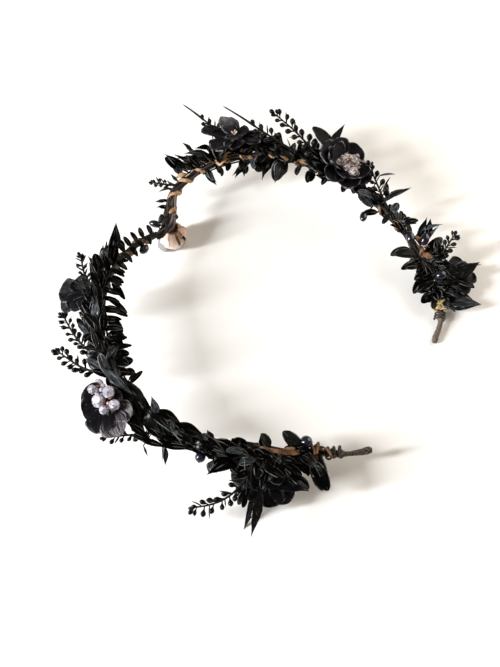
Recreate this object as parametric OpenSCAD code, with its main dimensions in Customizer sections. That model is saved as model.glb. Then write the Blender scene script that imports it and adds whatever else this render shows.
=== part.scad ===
// An open circlet of dark wire and twigs, dressed with leaves, bud sprigs, flowers, crystals and
// pearls. It rests on a table on its rosebud, its low left flower and its right end.
// The wearer faces -Y, so the wearer's left arm of the band is on the +X side.
// Places on the band are distances along it from the front, negative on the left arm.

/* [Band] */
// Distance along the band from one station of its route to the next
pitch = 19; // [18.9:0.05:19.1]
// Radius of the bundle of wires and twigs
band_r = 1.6; // [1.5:0.05:1.65]
// Turns that the strands of the bundle make over its whole length
band_twists = 6; // [3:1:8]
// Radius of the tape on the bare ends
tape_r = 2.0; // [1.95:0.05:2.1]

/* [Paper cord] */
// Width of the flat cord along the band
cord_w = 2; // [1.5:0.1:2.4]
// Thickness of the flat cord
cord_t = 0.8; // [0.6:0.1:0.8]

/* [Foliage] */
// Half the thickness of a leaf at its midrib
leaf_t = 0.45; // [0.4:0.05:0.5]
// Radius of the stem that carries a row of leaves
stem_r = 0.5; // [0.4:0.05:0.5]
// Distance from the band's middle to the middle of such a stem
stem_off = 3.4; // [3.4:0.05:3.6]
// Radius of a bud sprig's stem at its root
sprig_r = 0.6; // [0.5:0.05:0.6]
// Radius of a bud at its widest
bud_r = 1.1; // [0.9:0.05:1.2]

/* [Flowers] */
// Thickness of a petal
petal_t = 1; // [1:0.05:1.1]
// Radius of the heart of a flower
heart_r = 2.2; // [2:0.1:2.4]
// Radius of the rosebud at its widest
rose_r = 6.8; // [6.6:0.1:7]
// Height of the rosebud
rose_h = 14.4; // [14:0.1:14.8]

/* [Crystals and pearls] */
// Scale of the crystals
crystal_k = 1; // [0.9:0.01:1]
// Scale of the dark pearls
pearl_k = 1; // [0.9:0.01:1]

/* [Hidden] */

// Where the stations' origin lies from the middle of the whole piece
shift = [-3.1, 8.6, 0];
// Route of the band's middle line: across, back, height at each station, left end first
route = [
    [29, 79, 12], [42, 65, 13], [54, 51, 17], [65, 35, 22], [75, 19, 26], [80, 0, 30],
    [81, -19, 32], [75, -37, 32], [64, -54, 32], [49, -66, 31], [31, -73, 28], [12, -74, 23],
    [-6, -70, 18], [-22, -78, 21], [-39, -76, 23], [-55, -66, 25], [-68, -53, 25],
    [-75, -36, 25], [-79, -18, 23], [-81, 0, 20], [-80, 18, 16], [-77, 35, 11], [-70, 51, 7],
    [-58, 65, 4], [-41, 72, 1.6]
];
front = 12;
last = len(route) - 1;
// Clearance between a piece and what carries it
seat = 0.3;
left_end = -206;
right_end = 212;
band_step = pitch / 3;

UP = [0, 0, 1];

function unit(v) = v / norm(v);

// A point of the route, u counted in stations, on a smooth curve through all of them
function route_at(u) =
    let (
        i = min(max(floor(u), 0), last - 1),
        t = u - i,
        b = route[i],
        c = route[i + 1],
        a = i > 0 ? route[i - 1] : 2 * b - c,
        d = i < last - 1 ? route[i + 2] : 2 * c - b
    )
    shift + (2 * b + (c - a) * t + (2 * a - 5 * b + 4 * c - d) * t * t
        + (3 * b - a - 3 * c + d) * t * t * t) / 2;

// The band at a distance along it, and its directions there
function band_at(s) = route_at(s / pitch + front);
function course(s) = unit(band_at(s + 0.5) - band_at(s - 0.5));
function ahead(s) = let (c = course(s)) unit([c.x, c.y, 0]);
function outward(s) = cross(UP, ahead(s));
function lifted(s) = cross(course(s), outward(s));

// A direction seen from the band: 0 is outward, 90 ahead, 180 inward, and rise is above level
function heading(s, turn, rise) =
    cos(rise) * (cos(turn) * outward(s) + sin(turn) * ahead(s)) + sin(rise) * UP;

// A point beside the band: clock 0 is outward, 90 on top, 180 inward
function beside(s, clock, off) =
    band_at(s) + off * (cos(clock) * outward(s) + sin(clock) * lifted(s));

// A point out from the band, level, and up from it
function off_band(s, out, up) = band_at(s) + out * outward(s) + up * UP;

// The level sideways direction of something that points along d, and its upper side
function side_of(d) = unit(cross(UP, d));
function top_of(d) = cross(d, side_of(d));

// A small steady variation for the n-th of a row
function vary(n, most) = most * sin(n * 137.5);

// Corners of a cross-section at p: w across, t along the upper side, n corners
function section(p, across, upper, w, t, n) =
    [for (k = [0 : n - 1]) p + w * cos(360 * k / n) * across + t * sin(360 * k / n) * upper];

// One solid through a row of sections with the same number of corners, closed by two end points
module skin(tail, rings, nose) {
    n = len(rings[0]);
    m = len(rings);
    corners = [tail, for (r = rings) each r, nose];
    end = n * m + 1;
    polyhedron(
        points = corners,
        faces = [
            for (k = [0 : n - 1]) [0, 1 + k, 1 + (k + 1) % n],
            for (i = [0 : m - 2], k = [0 : n - 1])
                [1 + i * n + k, 1 + (i + 1) * n + k, 1 + (i + 1) * n + (k + 1) % n],
            for (i = [0 : m - 2], k = [0 : n - 1])
                [1 + i * n + k, 1 + (i + 1) * n + (k + 1) % n, 1 + i * n + (k + 1) % n],
            for (k = [0 : n - 1]) [end, end - n + (k + 1) % n, end - n + k]
        ],
        convexity = 6
    );
}

// A stem through a row of points, thinner towards its end, one convex piece after another
module stem(points, r0, r1, n = 4) {
    m = len(points) - 1;
    rings = [for (i = [0 : m])
        let (d = unit(points[min(i + 1, m)] - points[max(i - 1, 0)]), r = r0 + (r1 - r0) * i / m)
        section(points[i], side_of(d), top_of(d), r, r, n)];
    for (i = [0 : m - 1])
        hull()
            skin(points[i], [rings[i], rings[i + 1]], points[i + 1]);
}

// Leaf and petal outlines: share of the length, share of the full width
POINTED = [[0.16, 0.55], [0.42, 1], [0.76, 0.4]];
ROUND = [[0.18, 0.42], [0.62, 1], [0.92, 0.68]];
OVAL = [[0.14, 0.6], [0.45, 1], [0.84, 0.72]];
FERN = [[0.3, 1], [0.72, 0.75]];

// A leaf from p along d, arched upwards and rolled about its length
module leaf(p, d, length, width, outline = POINTED, arch = 0.08, roll = 0) {
    across = cos(roll) * side_of(d) + sin(roll) * top_of(d);
    upper = cross(d, across);
    rings = [for (row = outline)
        section(p + length * (row[0] * d + arch * 4 * row[0] * (1 - row[0]) * upper),
            across, upper, width / 2 * row[1], leaf_t * min(1, 0.5 + row[1] / 2), 4)];
    skin(p, rings, p + length * d);
}

// A twig beside the band with a leaf for each row: place, turn, rise, length, width
module twig(rows, from, to, clock, outline = POINTED) {
    links = max(8, ceil(abs(to - from) / 5));
    color([0.07, 0.08, 0.07]) {
        stem([for (i = [0 : links]) beside(from + (to - from) * i / links, clock, stem_off)],
            stem_r, stem_r);
        for (i = [0 : len(rows) - 1]) {
            row = rows[i];
            leaf(beside(row[0], clock, stem_off), heading(row[0], row[1], row[2]), row[3], row[4],
                outline, 0.08, vary(i + 1, 18));
        }
    }
}

// Paper cord wound round the band, from one place to another
module wrap(from, to, turns, start, tint = [0.62, 0.45, 0.27]) {
    steps = ceil(turns * 8);
    r = band_r + seat + cord_t / 2;
    rings = [for (i = [0 : steps])
        let (
            s = from + (to - from) * i / steps,
            a = start + 360 * turns * i / steps,
            radial = cos(a) * outward(s) + sin(a) * lifted(s),
            c = course(s)
        )
        [for (k = [[-1, -1], [1, -1], [1, 1], [-1, 1]])
            band_at(s) + (r + k[1] * cord_t / 2) * radial + k[0] * cord_w / 2 * c]];
    color(tint)
        skin(middle_of(rings[0]), rings, middle_of(rings[steps]));
}

function middle_of(ring) = (ring[0] + ring[1] + ring[2] + ring[3]) / 4;

// A bud that swells towards its end, from inside the stem at p along d
module bud(p, d, length, r)
    skin(p, [section(p + 0.7 * length * d, side_of(d), top_of(d), r, r, 4)], p + length * d);

// A point of a curved stem that reaches from its root along d, u being the share of its length
function sprig_at(root, d, length, bow, u) =
    root + length * u * d + bow * 4 * u * (1 - u) * side_of(d);

// A sprig: the clock of its root, its heading and whole reach, with buds to both sides
module sprig(s, clock, turn, rise, reach, bow, buds, bud_l) {
    d = heading(s, turn, rise);
    root = beside(s, clock, band_r + seat / 2 + sprig_r);
    length = reach - bud_l;
    links = 8;
    color([0.09, 0.09, 0.09]) {
        stem([for (i = [0 : links]) sprig_at(root, d, length, bow, i / links)], sprig_r, 0.35);
        for (i = [0 : buds - 1]) {
            u = 0.28 + 0.7 * i / (buds - 1);
            way = i % 2 == 0 ? 1 : -1;
            open = i == buds - 1 ? 8 : 48 + vary(i, 10);
            aim = unit(cos(open) * d + sin(open) * (way * side_of(d) + 0.35 * vary(i, 1) * UP));
            bud(sprig_at(root, d, length, bow, u), aim, bud_l * (1 + vary(i, 0.15)), bud_r);
        }
    }
}

// A petal from p along d, with its hollow side towards upper, pointed where it is narrow
module petal(p, d, upper, length, width, bend, cup) {
    across = cross(upper, d);
    outline = width < length / 2 ? POINTED : ROUND;
    columns = [1, 0, -1];
    function mid(u, g, v) = p + length * (u * d + bend * u * u * upper)
        + width / 2 * g * v * across + width * cup * g * v * v * upper;
    rings = [for (row = outline)
        [for (v = columns) mid(row[0], row[1], v) + petal_t / 2 * upper,
            for (v = columns) mid(row[0], row[1], -v) - petal_t / 2 * upper]];
    skin(p, rings, mid(1, 0, 0));
}

// A flower: its heart out from the band, the way it faces, its petals and its stalk
// Petals: angle about the face from ahead towards outward, opening from the face, length, width
module flower(s, out, up, turn, rise, petals, bend, cup, root, tint) {
    face = heading(s, turn, rise);
    e1 = unit(ahead(s) - (ahead(s) * face) * face);
    e2 = cross(face, e1);
    heart = off_band(s, out, up);
    foot = beside(s, root, band_r + seat / 2 + sprig_r);
    color(tint) {
        stem([for (i = [0 : 8]) foot + (heart - foot) * i / 8], sprig_r, 1);
        skin(heart - 1.4 * face, [section(heart, e1, e2, heart_r, heart_r, 6)],
            heart + 1.4 * face);
        for (row = petals)
            let (
                spread = cos(row[0]) * e1 + sin(row[0]) * e2,
                d = unit(cos(row[1]) * face + sin(row[1]) * spread),
                upper = unit(face * sin(row[1]) - spread * cos(row[1]))
            )
            petal(heart, d, upper, row[2], row[3], bend, cup);
    }
}

// A cut bead with a table at each end and 32 triangular facets round it
module crystal(s, out, up, r, turn, rise) {
    r = r * crystal_k;
    face = heading(s, turn, rise);
    e1 = unit(ahead(s) - (ahead(s) * face) * face);
    e2 = cross(face, e1);
    c = off_band(s, out, up);
    n = 8;
    function cut(level, radius, half) =
        [for (k = [0 : n - 1]) c + r * level * face
            + r * radius * (cos(360 * (k + half) / n) * e1 + sin(360 * (k + half) / n) * e2)];
    color([0.85, 0.83, 0.9])
        skin(c - 0.8 * r * face,
            [cut(-0.8, 0.5, 0), cut(0, 1, 0.5), cut(0.8, 0.5, 0)], c + 0.8 * r * face);
}

// A dark pearl, long along its heading, on a short wire from the band
module pearl(s, out, up, length, width, turn, rise, clock) {
    c = off_band(s, out, up);
    d = heading(s, turn, rise);
    foot = beside(s, clock, band_r + seat);
    wire = c - foot;
    points = 8;
    color([0.12, 0.09, 0.2])
        union() {
            translate(c)
                aim(d)
                    rotate_extrude($fn = 32)
                        polygon([for (i = [0 : points])
                            [pearl_k * width / 2 * sin(180 * i / points),
                            -pearl_k * length / 2 * cos(180 * i / points)]]);
            translate(foot)
                aim(wire)
                    cylinder(h = norm(wire), r = 0.4, $fn = 16);
        }
}

// Turns +Z to point along d
module aim(d)
    rotate([0, acos(d.z / norm(d)), atan2(d.y, d.x)])
        children();

module band() {
    steps = round((right_end - left_end) / band_step);
    rings = [for (i = [0 : steps])
        let (
            s = left_end + (right_end - left_end) * i / steps,
            spin = 360 * band_twists * i / steps
        )
        [for (k = [0 : 5])
            let (a = spin + 60 * k)
            band_at(s) + band_r * (cos(a) * outward(s) + sin(a) * lifted(s))]];
    color([0.16, 0.13, 0.13])
        skin(band_at(left_end), rings, band_at(right_end));
}

// A taped end that carries on where the band stops
// Rows: place, radius
module taped_end(rows) {
    color([0.3, 0.26, 0.24])
        skin(band_at(rows[0][0]),
            [for (row = rows) section(band_at(row[0]), outward(row[0]), lifted(row[0]),
                row[1], row[1], 8)],
            band_at(rows[len(rows) - 1][0]));
}

// Taped ends of the band
module tip_left()
    taped_end([[-228.5, 1.2], [-227, 1.8], [-220.3, tape_r], [-215, tape_r],
        [-213.5, 2.5], [-211.5, tape_r], [-209.5, 2.6], [-208, 2.2], [left_end - 0.3, 2.3]]);

module tip_right()
    taped_end([[right_end + 0.3, 2.3], [214, tape_r], [215.5, 2.5], [217, tape_r],
        [220.3, tape_r], [224, tape_r - 0.1], [226, 1.8], [228, 1.6], [229.5, 1.1]]);

// Paper cord
module wrap_front_left() wrap(-50, -9, 3.5, 200);

module wrap_front_right() wrap(8, 58, 5, 60);

module wrap_top() wrap(65, 104, 3, 100);

module wrap_right() wrap(134, 181, 4, 145);

module wrap_lower_left() wrap(-166, -130, 2.25, 200);

module wrap_end_left() wrap(-196, -172, 1.25, 90);

module coil_end_left() wrap(-204.5, -198.5, 2.2, 0);

module knot_right() wrap(207, 210.6, 1.5, 0, [0.72, 0.56, 0.25]);

// Leaf twigs
// Rows: place on the band, turn, rise, length, width
module fern_left() {
    outer = [for (i = [0 : 5]) [-11 - 4.4 * i, 12, 18, 5 + 0.3 * i, 2.6]];
    inner = [for (i = [0 : 13]) [-14 - 5.6 * i, 202 - i, 8, 4.5 + 0.62 * i, 2.4 + 0.12 * i]];
    twig(concat(outer, inner), -92, -9, 90, FERN);
}

module leaves_left_outer()
    twig([[-38, 78, 35, 21, 5], [-44, 81, 38, 17, 3.5], [-47, 42, 15, 14, 4.5],
        [-41, 52, 12, 12, 4], [-51, 54, 30, 13, 4.5], [-50, 80, 60, 8, 4.5],
        [-74, 74, 25, 12, 4], [-76, 96, 12, 14, 4.5]], -78, -36, 0);

module leaves_left_inner()
    twig([[-93, 200, 15, 8, 5], [-98, 217, 10, 6.5, 5], [-105, 164, 0, 9, 2.5],
        [-77, 209, 5, 9, 5], [-83, 202, 25, 7.5, 5], [-88, 202, 15, 8, 4.5],
        [-85, 115, 40, 8, 3.5]], -106, -74, 180, OVAL);

module leaves_lower_left()
    twig([[-126, 132, 30, 9, 4], [-136, 62, 35, 10, 4.5], [-138, 27, 0, 7, 3],
        [-152, 84, 30, 9, 4], [-153, 138, 30, 6, 3.5], [-133, -15, -15, 18, 2.5],
        [-121, 106, 10, 20, 7], [-145, 20, 10, 8, 4]], -155, -119, 90);

module leaves_end_left()
    twig([[-200, -15, -12, 19, 8], [-169, 110, 20, 7, 4], [-179, 145, 25, 8, 4.5],
        [-194, 133, 25, 13, 6.5], [-165, 46, -10, 18, 6.5], [-162, 28, -25, 12, 4]],
        -201, -158, 90, OVAL);

module leaves_front_right()
    twig([[42, -17, 20, 16, 3], [40, -33, 10, 15, 2.5], [45, -46, 35, 14, 2.5],
        [34, -22, 25, 16, 4.5], [31, -3, 0, 10, 3.5], [22, -37, -20, 9, 2],
        [15, -10, -10, 7, 2], [11, 7, 0, 5, 2]], 10, 46, 0);

module leaves_top_inner()
    twig([[41, 158, -15, 11, 3.5], [48, 156, -20, 6, 3], [67, 227, -10, 15, 4.5],
        [63, 190, -10, 9, 3.5], [72, 168, 10, 11, 7], [79, 194, -5, 13, 3.5],
        [86, 180, 5, 17, 7.5]], 40, 88, 180);

module leaves_right_mid()
    twig([[119, 131, -5, 7, 4.5], [126, 129, 0, 6, 4.5], [141, 240, 40, 13, 4.5],
        [151, 172, -10, 7, 3], [144, 34, 35, 19, 3], [158, 50, 20, 10, 3.5]], 117, 160, 90);

module leaves_right_inner()
    twig([[174, 200, 0, 12, 5.5], [181, 177, 5, 11, 4], [192, 151, 0, 12, 5.5],
        [201, 148, 5, 9, 5], [197, 165, -5, 7, 4]], 172, 203, 180, OVAL);

module leaves_right_outer()
    twig([[171, -23, 35, 13, 4], [176, -12, 40, 15, 2.5], [182, -30, 20, 12, 3],
        [210, -5, 8, 18, 6.5], [199, 40, -4, 17, 5]], 168, 211, 0);

// Bud sprigs: place and clock of the root, turn, rise, reach, bow, buds, bud length
module sprig_front() sprig(24, 40, -33, 5, 14.5, 0.5, 7, 4.5);

module sprig_top_a() sprig(66, 10, -50, 12, 40, 0, 13, 5);

module sprig_top_b() sprig(98, 50, -84, 24, 53, 0, 15, 5);

module sprig_top_c() sprig(112, 60, -78, 22, 44, -1, 15, 5);

module sprig_right() sprig(151, 60, -71, 30, 31, 1, 9, 5);

module sprig_right_end() sprig(188, 60, -18, 35, 22, 0, 9, 4.5);

module sprig_left_a() sprig(-61, 60, 64, 28, 26, 1, 9, 4.5);

module sprig_left_b() sprig(-90, 60, 71, 10, 34, 0, 15, 4.5);

module sprig_left_c() sprig(-97, 0, 54, 0, 33, 2, 13, 5);

module sprig_lower_left() sprig(-133, -30, 55, 0, 33, 1, 11, 4.5);

module sprig_end_left() sprig(-174, 0, 50, -8, 44, 6, 15, 5);

// Flowers: place, out, up, turn, rise, petals, bend, cup, clock of the stalk
DUSK = [0.2, 0.17, 0.2];

module flower_left()
    flower(-107.6, 12, 3, 0, 75, [[72, 78, 11, 13], [13, 78, 12, 12], [138, 76, 15, 14],
        [172, 78, 19, 14], [204, 80, 16, 12], [254, 76, 10, 10]], 0.1, 0.1, 0, DUSK);

module flower_right()
    flower(117, 8, 5, 90, 80, [[197, 68, 16, 14], [151, 66, 13, 12], [69, 70, 12, 13],
        [297, 75, 20, 14], [264, 74, 19, 12], [172, 72, 24, 6], [125, 80, 20, 5]],
        0.1, 0.1, 40, DUSK);

module flower_top()
    flower(61, 7.5, 8, 0, 70, [[107, 74, 15, 8], [90, 74, 13, 8], [161, 78, 18, 9],
        [326, 88, 15, 13], [218, 84, 17, 11], [256, 88, 12, 11]], 0.08, 0.1, 60, DUSK);

module flower_end_left()
    flower(-178, 10.4, -8, 0, 90, [[357, 88, 16, 13], [112, 104, 15, 13], [142, 100, 17, 12],
        [166, 96, 22, 9], [75, 115.5, 28, 7], [58, 110, 14, 9]], 0, 0.1, -40, DUSK);

module flower_end_right()
    flower(198, 6.8, 2, 0, 75, [[101, 82, 15, 14], [108, 72, 20, 8], [55, 82, 14, 12],
        [15, 85, 11, 10]], 0, 0.12, 40, DUSK);

module petals_left()
    flower(-56, 7, 2, 0, 75, [[90, 84, 15, 13], [120, 96, 16, 10], [49, 78, 10, 11],
        [143, 84, 8, 11]], 0, 0.12, 40, DUSK);

// The pale bud: its petals overlap in lobes, and its green cup ends under the band
module rosebud() {
    c = off_band(2, -1, 0);
    base = [c.x, c.y, 0] + [0, 0, shift.z];
    lobes = 5;
    rows = [[0.08, 0.5], [0.25, 0.86], [0.46, 1], [0.7, 0.92], [0.88, 0.62], [0.97, 0.3]];
    rings = [for (row = rows)
        [for (k = [0 : 14])
            let (a = 24 * k, r = rose_r * row[1] * (1 + 0.08 * cos(lobes * a + 120 * row[0])))
            base + [r * cos(a), r * sin(a), rose_h * row[0]]]];
    color([0.85, 0.74, 0.66]) {
        skin(base, rings, base + rose_h * UP);
        for (k = [0 : lobes - 1])
            let (a = 72 * k, d = [cos(a) * 0.8, sin(a) * 0.8, -0.6])
            leaf(base + (rose_h + 0.4) * UP, d, 7, 3.4, OVAL, -0.1);
        hull()
            skin(base + (rose_h - 1) * UP,
                [section(base + (rose_h - 0.6) * UP, [1, 0, 0], [0, 1, 0], 1.9, 1.9, 6),
                section(off_band(1.5, 0, -band_r - 0.6), [1, 0, 0], [0, 1, 0], 0.8, 0.8, 6)],
                off_band(1.5, 0, -band_r - 0.1));
    }
}

// Crystals: name, place, out, up, radius, turn, rise
CRYSTALS = [
    ["crystal_left_1", -106.5, 13.8, 7.6, 3.4, 0, 75],
    ["crystal_left_2", -106.8, 8.3, 11, 3, 40, 60],
    ["crystal_left_3", -112.2, 9.9, 10.2, 2.7, 200, 60],
    ["crystal_left_4", -99, 9.6, 4, 2.5, 90, 50],
    ["crystal_left_5", -101.4, 13.6, 8.6, 2.2, 60, 50],
    ["crystal_left_6", -110.9, 14.7, 9, 2.3, -60, 50],
    ["crystal_right_1", 116.8, 1.2, 14, 2.3, 0, 70],
    ["crystal_right_2", 121.7, 7.6, 11, 2.6, 0, 60],
    ["crystal_right_3", 125.3, 0.4, 13.2, 2.6, 30, 60],
    ["crystal_right_4", 117.4, 9.1, 8.6, 2.1, 180, 70],
    ["crystal_right_5", 124.8, 12.3, 5, 2.3, 120, 60],
    ["crystal_right_6", 120.4, 1.9, 11.2, 2.3, 90, 50]
];

// Pearls: name, place, out, up, length, width, turn, rise, clock of the wire
PEARLS = [
    ["pearl_front_left", -4, 6.4, 0, 6.4, 3.8, -30, 0, 0],
    ["pearl_front_under", -20, -4.4, 0, 5.6, 4.2, 90, 0, 180],
    ["pearl_lower_left_a", -150, 8.1, 0, 5.4, 5, 0, 0, 0],
    ["pearl_lower_left_b", -154, 5.1, 0, 5.6, 4.8, 20, 0, 0],
    ["pearl_end_left", -197, -5.4, 5, 6.2, 6, 0, 30, 150],
    ["pearl_right_a", 170, -2, 6, 7, 4.6, -60, 10, 90],
    ["pearl_right_b", 175, 4, 6, 6.8, 4.6, -40, 20, 60],
    ["pearl_right_end", 196, 2, 7, 6, 5.6, 0, 20, 90],
    ["pearl_right_mid", 142, -9, 0, 6.4, 4, 155, 10, 180]
];

band();
tip_left();
tip_right();
wrap_front_left();
wrap_front_right();
wrap_top();
wrap_right();
wrap_lower_left();
wrap_end_left();
coil_end_left();
knot_right();
fern_left();
leaves_left_outer();
leaves_left_inner();
leaves_lower_left();
leaves_end_left();
leaves_front_right();
leaves_top_inner();
leaves_right_mid();
leaves_right_inner();
leaves_right_outer();
sprig_front();
sprig_top_a();
sprig_top_b();
sprig_top_c();
sprig_right();
sprig_right_end();
sprig_left_a();
sprig_left_b();
sprig_left_c();
sprig_lower_left();
sprig_end_left();
flower_left();
flower_right();
flower_top();
flower_end_left();
flower_end_right();
petals_left();
rosebud();
for (row = CRYSTALS)
    crystal(row[1], row[2], row[3], row[4], row[5], row[6]);
for (row = PEARLS)
    pearl(row[1], row[2], row[3], row[4], row[5], row[6], row[7], row[8]);
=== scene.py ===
# Looks of the tiara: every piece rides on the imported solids, lying on a plain pale floor.
# Sizes and places are in millimetres and become metres when a mesh is made.
import math
import random

import bmesh
import bpy
import numpy as np
from mathutils import Matrix, Vector


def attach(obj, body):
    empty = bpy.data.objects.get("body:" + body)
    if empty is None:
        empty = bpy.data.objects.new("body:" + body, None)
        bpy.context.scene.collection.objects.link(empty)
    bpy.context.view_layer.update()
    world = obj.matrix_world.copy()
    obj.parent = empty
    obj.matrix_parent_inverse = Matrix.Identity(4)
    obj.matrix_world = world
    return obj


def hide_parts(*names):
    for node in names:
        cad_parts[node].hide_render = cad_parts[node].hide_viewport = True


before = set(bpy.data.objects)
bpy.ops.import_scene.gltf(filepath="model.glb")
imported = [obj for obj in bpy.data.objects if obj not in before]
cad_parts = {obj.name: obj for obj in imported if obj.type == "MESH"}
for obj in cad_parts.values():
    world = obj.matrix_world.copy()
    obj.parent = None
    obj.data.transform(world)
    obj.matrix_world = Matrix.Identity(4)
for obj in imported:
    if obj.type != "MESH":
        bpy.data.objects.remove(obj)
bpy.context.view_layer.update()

MM = 0.001
RIGHTWARD = np.array([1.0, 0.0, 0.0])
BACKWARD = np.array([0.0, 1.0, 0.0])
UP = np.array([0.0, 0.0, 1.0])
TAU = 2 * math.pi
GOLDEN_TURN = 137.5

# Camera and light
CAMERA_AT = (177.8, 128.7, 475.0)
AIM_AT = (7.56, 3.26, 0.0)
LENS = 55
SENSOR = 36
SKY_COLOUR = (1.0, 0.86, 0.68, 1)
SKY_STRENGTH = 0.26
# Lights: place, width, height, power, colour
LIGHTS = {
    "window": ((795, -610, 550), 0.14, 0.64, 27, (0.98, 0.99, 1.0)),
    "bounce": ((-300, 150, 180), 0.3, 0.3, 1.0, (1.0, 0.94, 0.86)),
}
FLOOR_REACH = 3.0


def make_camera():
    data = bpy.data.cameras.new("camera")
    data.lens = LENS
    data.sensor_width = SENSOR
    data.clip_start = 0.01
    data.clip_end = 20
    camera = bpy.data.objects.new("camera", data)
    bpy.context.scene.collection.objects.link(camera)
    place = Vector(CAMERA_AT) * MM
    back = (place - Vector(AIM_AT) * MM).normalized()
    right = Vector(UP).cross(back).normalized()
    turn = Matrix((right, back.cross(right), back)).transposed().to_4x4()
    camera.matrix_world = Matrix.Translation(place) @ turn
    bpy.context.scene.camera = camera


def make_lights():
    for name, (place, width, height, power, colour) in LIGHTS.items():
        data = bpy.data.lights.new(name, "AREA")
        data.shape = "RECTANGLE"
        data.size = width
        data.size_y = height
        data.energy = power
        data.color = colour
        light = bpy.data.objects.new(name, data)
        bpy.context.scene.collection.objects.link(light)
        light.location = Vector(place) * MM
        light.rotation_mode = "QUATERNION"
        light.rotation_quaternion = (-Vector(place)).to_track_quat("-Z", "Y")
    world = bpy.data.worlds.new("room")
    world.use_nodes = True
    sky = world.node_tree.nodes["Background"]
    sky.inputs["Color"].default_value = SKY_COLOUR
    sky.inputs["Strength"].default_value = SKY_STRENGTH
    bpy.context.scene.world = world
    bpy.context.scene.view_settings.view_transform = "Standard"


make_camera()
make_lights()

# Route of the band's middle line: across, back, height at each station, left end first
SHIFT = np.array([-3.1, 8.6, 0.0])
ROUTE = np.array([
    (29, 79, 12), (42, 65, 13), (54, 51, 17), (65, 35, 22), (75, 19, 26), (80, 0, 30),
    (81, -19, 32), (75, -37, 32), (64, -54, 32), (49, -66, 31), (31, -73, 28), (12, -74, 23),
    (-6, -70, 18), (-22, -78, 21), (-39, -76, 23), (-55, -66, 25), (-68, -53, 25),
    (-75, -36, 25), (-79, -18, 23), (-81, 0, 20), (-80, 18, 16), (-77, 35, 11), (-70, 51, 7),
    (-58, 65, 4), (-41, 72, 1.6)], float)
PITCH = 19
FRONT = 12
LAST = len(ROUTE) - 1
LEFT_END = -206
RIGHT_END = 212
BAND_R = 1.6
SEAT = 0.3
CORD_W = 2.0
CORD_T = 0.8
STEM_R = 0.5
STEM_OFF = 2.7
SPRIG_R = 0.6
ROOT_OFF = BAND_R + SEAT / 2 + SPRIG_R
BUD_R = 1.25
HEART_R = 2.2
ROSE_R = 6.8
ROSE_H = 14.4
TABLE_GAP = 0.2


def unit(v):
    return v / np.linalg.norm(v)


def cosd(a):
    return math.cos(math.radians(a))


def sind(a):
    return math.sin(math.radians(a))


def band_at(s):
    """A point of the band's middle line, s along it from the front, negative on the left arm."""
    u = s / PITCH + FRONT
    i = int(min(max(math.floor(u), 0), LAST - 1))
    t = u - i
    b, c = ROUTE[i], ROUTE[i + 1]
    a = ROUTE[i - 1] if i > 0 else 2 * b - c
    d = ROUTE[i + 2] if i < LAST - 1 else 2 * c - b
    cubic = (3 * b - a - 3 * c + d) * t ** 3
    return SHIFT + (2 * b + (c - a) * t + (2 * a - 5 * b + 4 * c - d) * t * t + cubic) / 2


def course(s):
    """The way the band runs at s. Ahead is that way made level, outward and lifted are square to it."""
    return unit(band_at(s + 0.5) - band_at(s - 0.5))


def ahead(s):
    return unit(course(s) * (1, 1, 0))


def outward(s):
    return np.cross(UP, ahead(s))


def lifted(s):
    return np.cross(course(s), outward(s))


def turned(angle, first, second):
    """The direction at an angle from the first of two square directions towards the second."""
    return cosd(angle) * first + sind(angle) * second


def heading(s, turn, rise):
    """A direction seen from the band: turn 0 outward, 90 ahead, 180 inward, and rise above level."""
    return turned(rise, turned(turn, outward(s), ahead(s)), UP)


def round_band(s, clock):
    """The direction square to the band at a clock angle: 0 is outward, 90 on top, 180 inward."""
    return turned(clock, outward(s), lifted(s))


def beside(s, clock, off):
    return band_at(s) + off * round_band(s, clock)


def off_band(s, out, up):
    return band_at(s) + out * outward(s) + up * UP


def face_axes(s, face):
    """Two directions across a face: the nearest to ahead, and the one square to it."""
    e1 = unit(ahead(s) - (ahead(s) @ face) * face)
    return e1, np.cross(face, e1)


def side_of(d):
    """The level direction across d, or rightward where d is upright."""
    side = np.cross(UP, d)
    return unit(side) if np.linalg.norm(side) > 0.05 else RIGHTWARD


def top_of(d):
    return np.cross(d, side_of(d))


def vary(n, most):
    """A size between -most and most that differs for each number n."""
    return most * sind(n * GOLDEN_TURN)


def between(low, high, share):
    return low + (high - low) * share


def smooth(rows, x):
    """A smooth curve through rows of (place, value), read at the places x."""
    px, py = np.array(rows, float).T
    slope = np.gradient(py, px)
    k = np.clip(np.searchsorted(px, x, side="right") - 1, 0, len(px) - 2)
    w = px[k + 1] - px[k]
    t = np.clip((x - px[k]) / w, 0, 1)
    rising = py[k] * (1 + 2 * t) * (1 - t) ** 2 + py[k + 1] * t * t * (3 - 2 * t)
    bending = w * (slope[k] * t * (1 - t) ** 2 - slope[k + 1] * t * t * (1 - t))
    return rising + bending


def circle(n, side, up, half=0.0):
    """Directions to n points evenly round, from side towards up, set on by a share of a step."""
    angles = TAU * (np.arange(n) + half) / n
    return np.cos(angles)[:, None] * side + np.sin(angles)[:, None] * up


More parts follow.
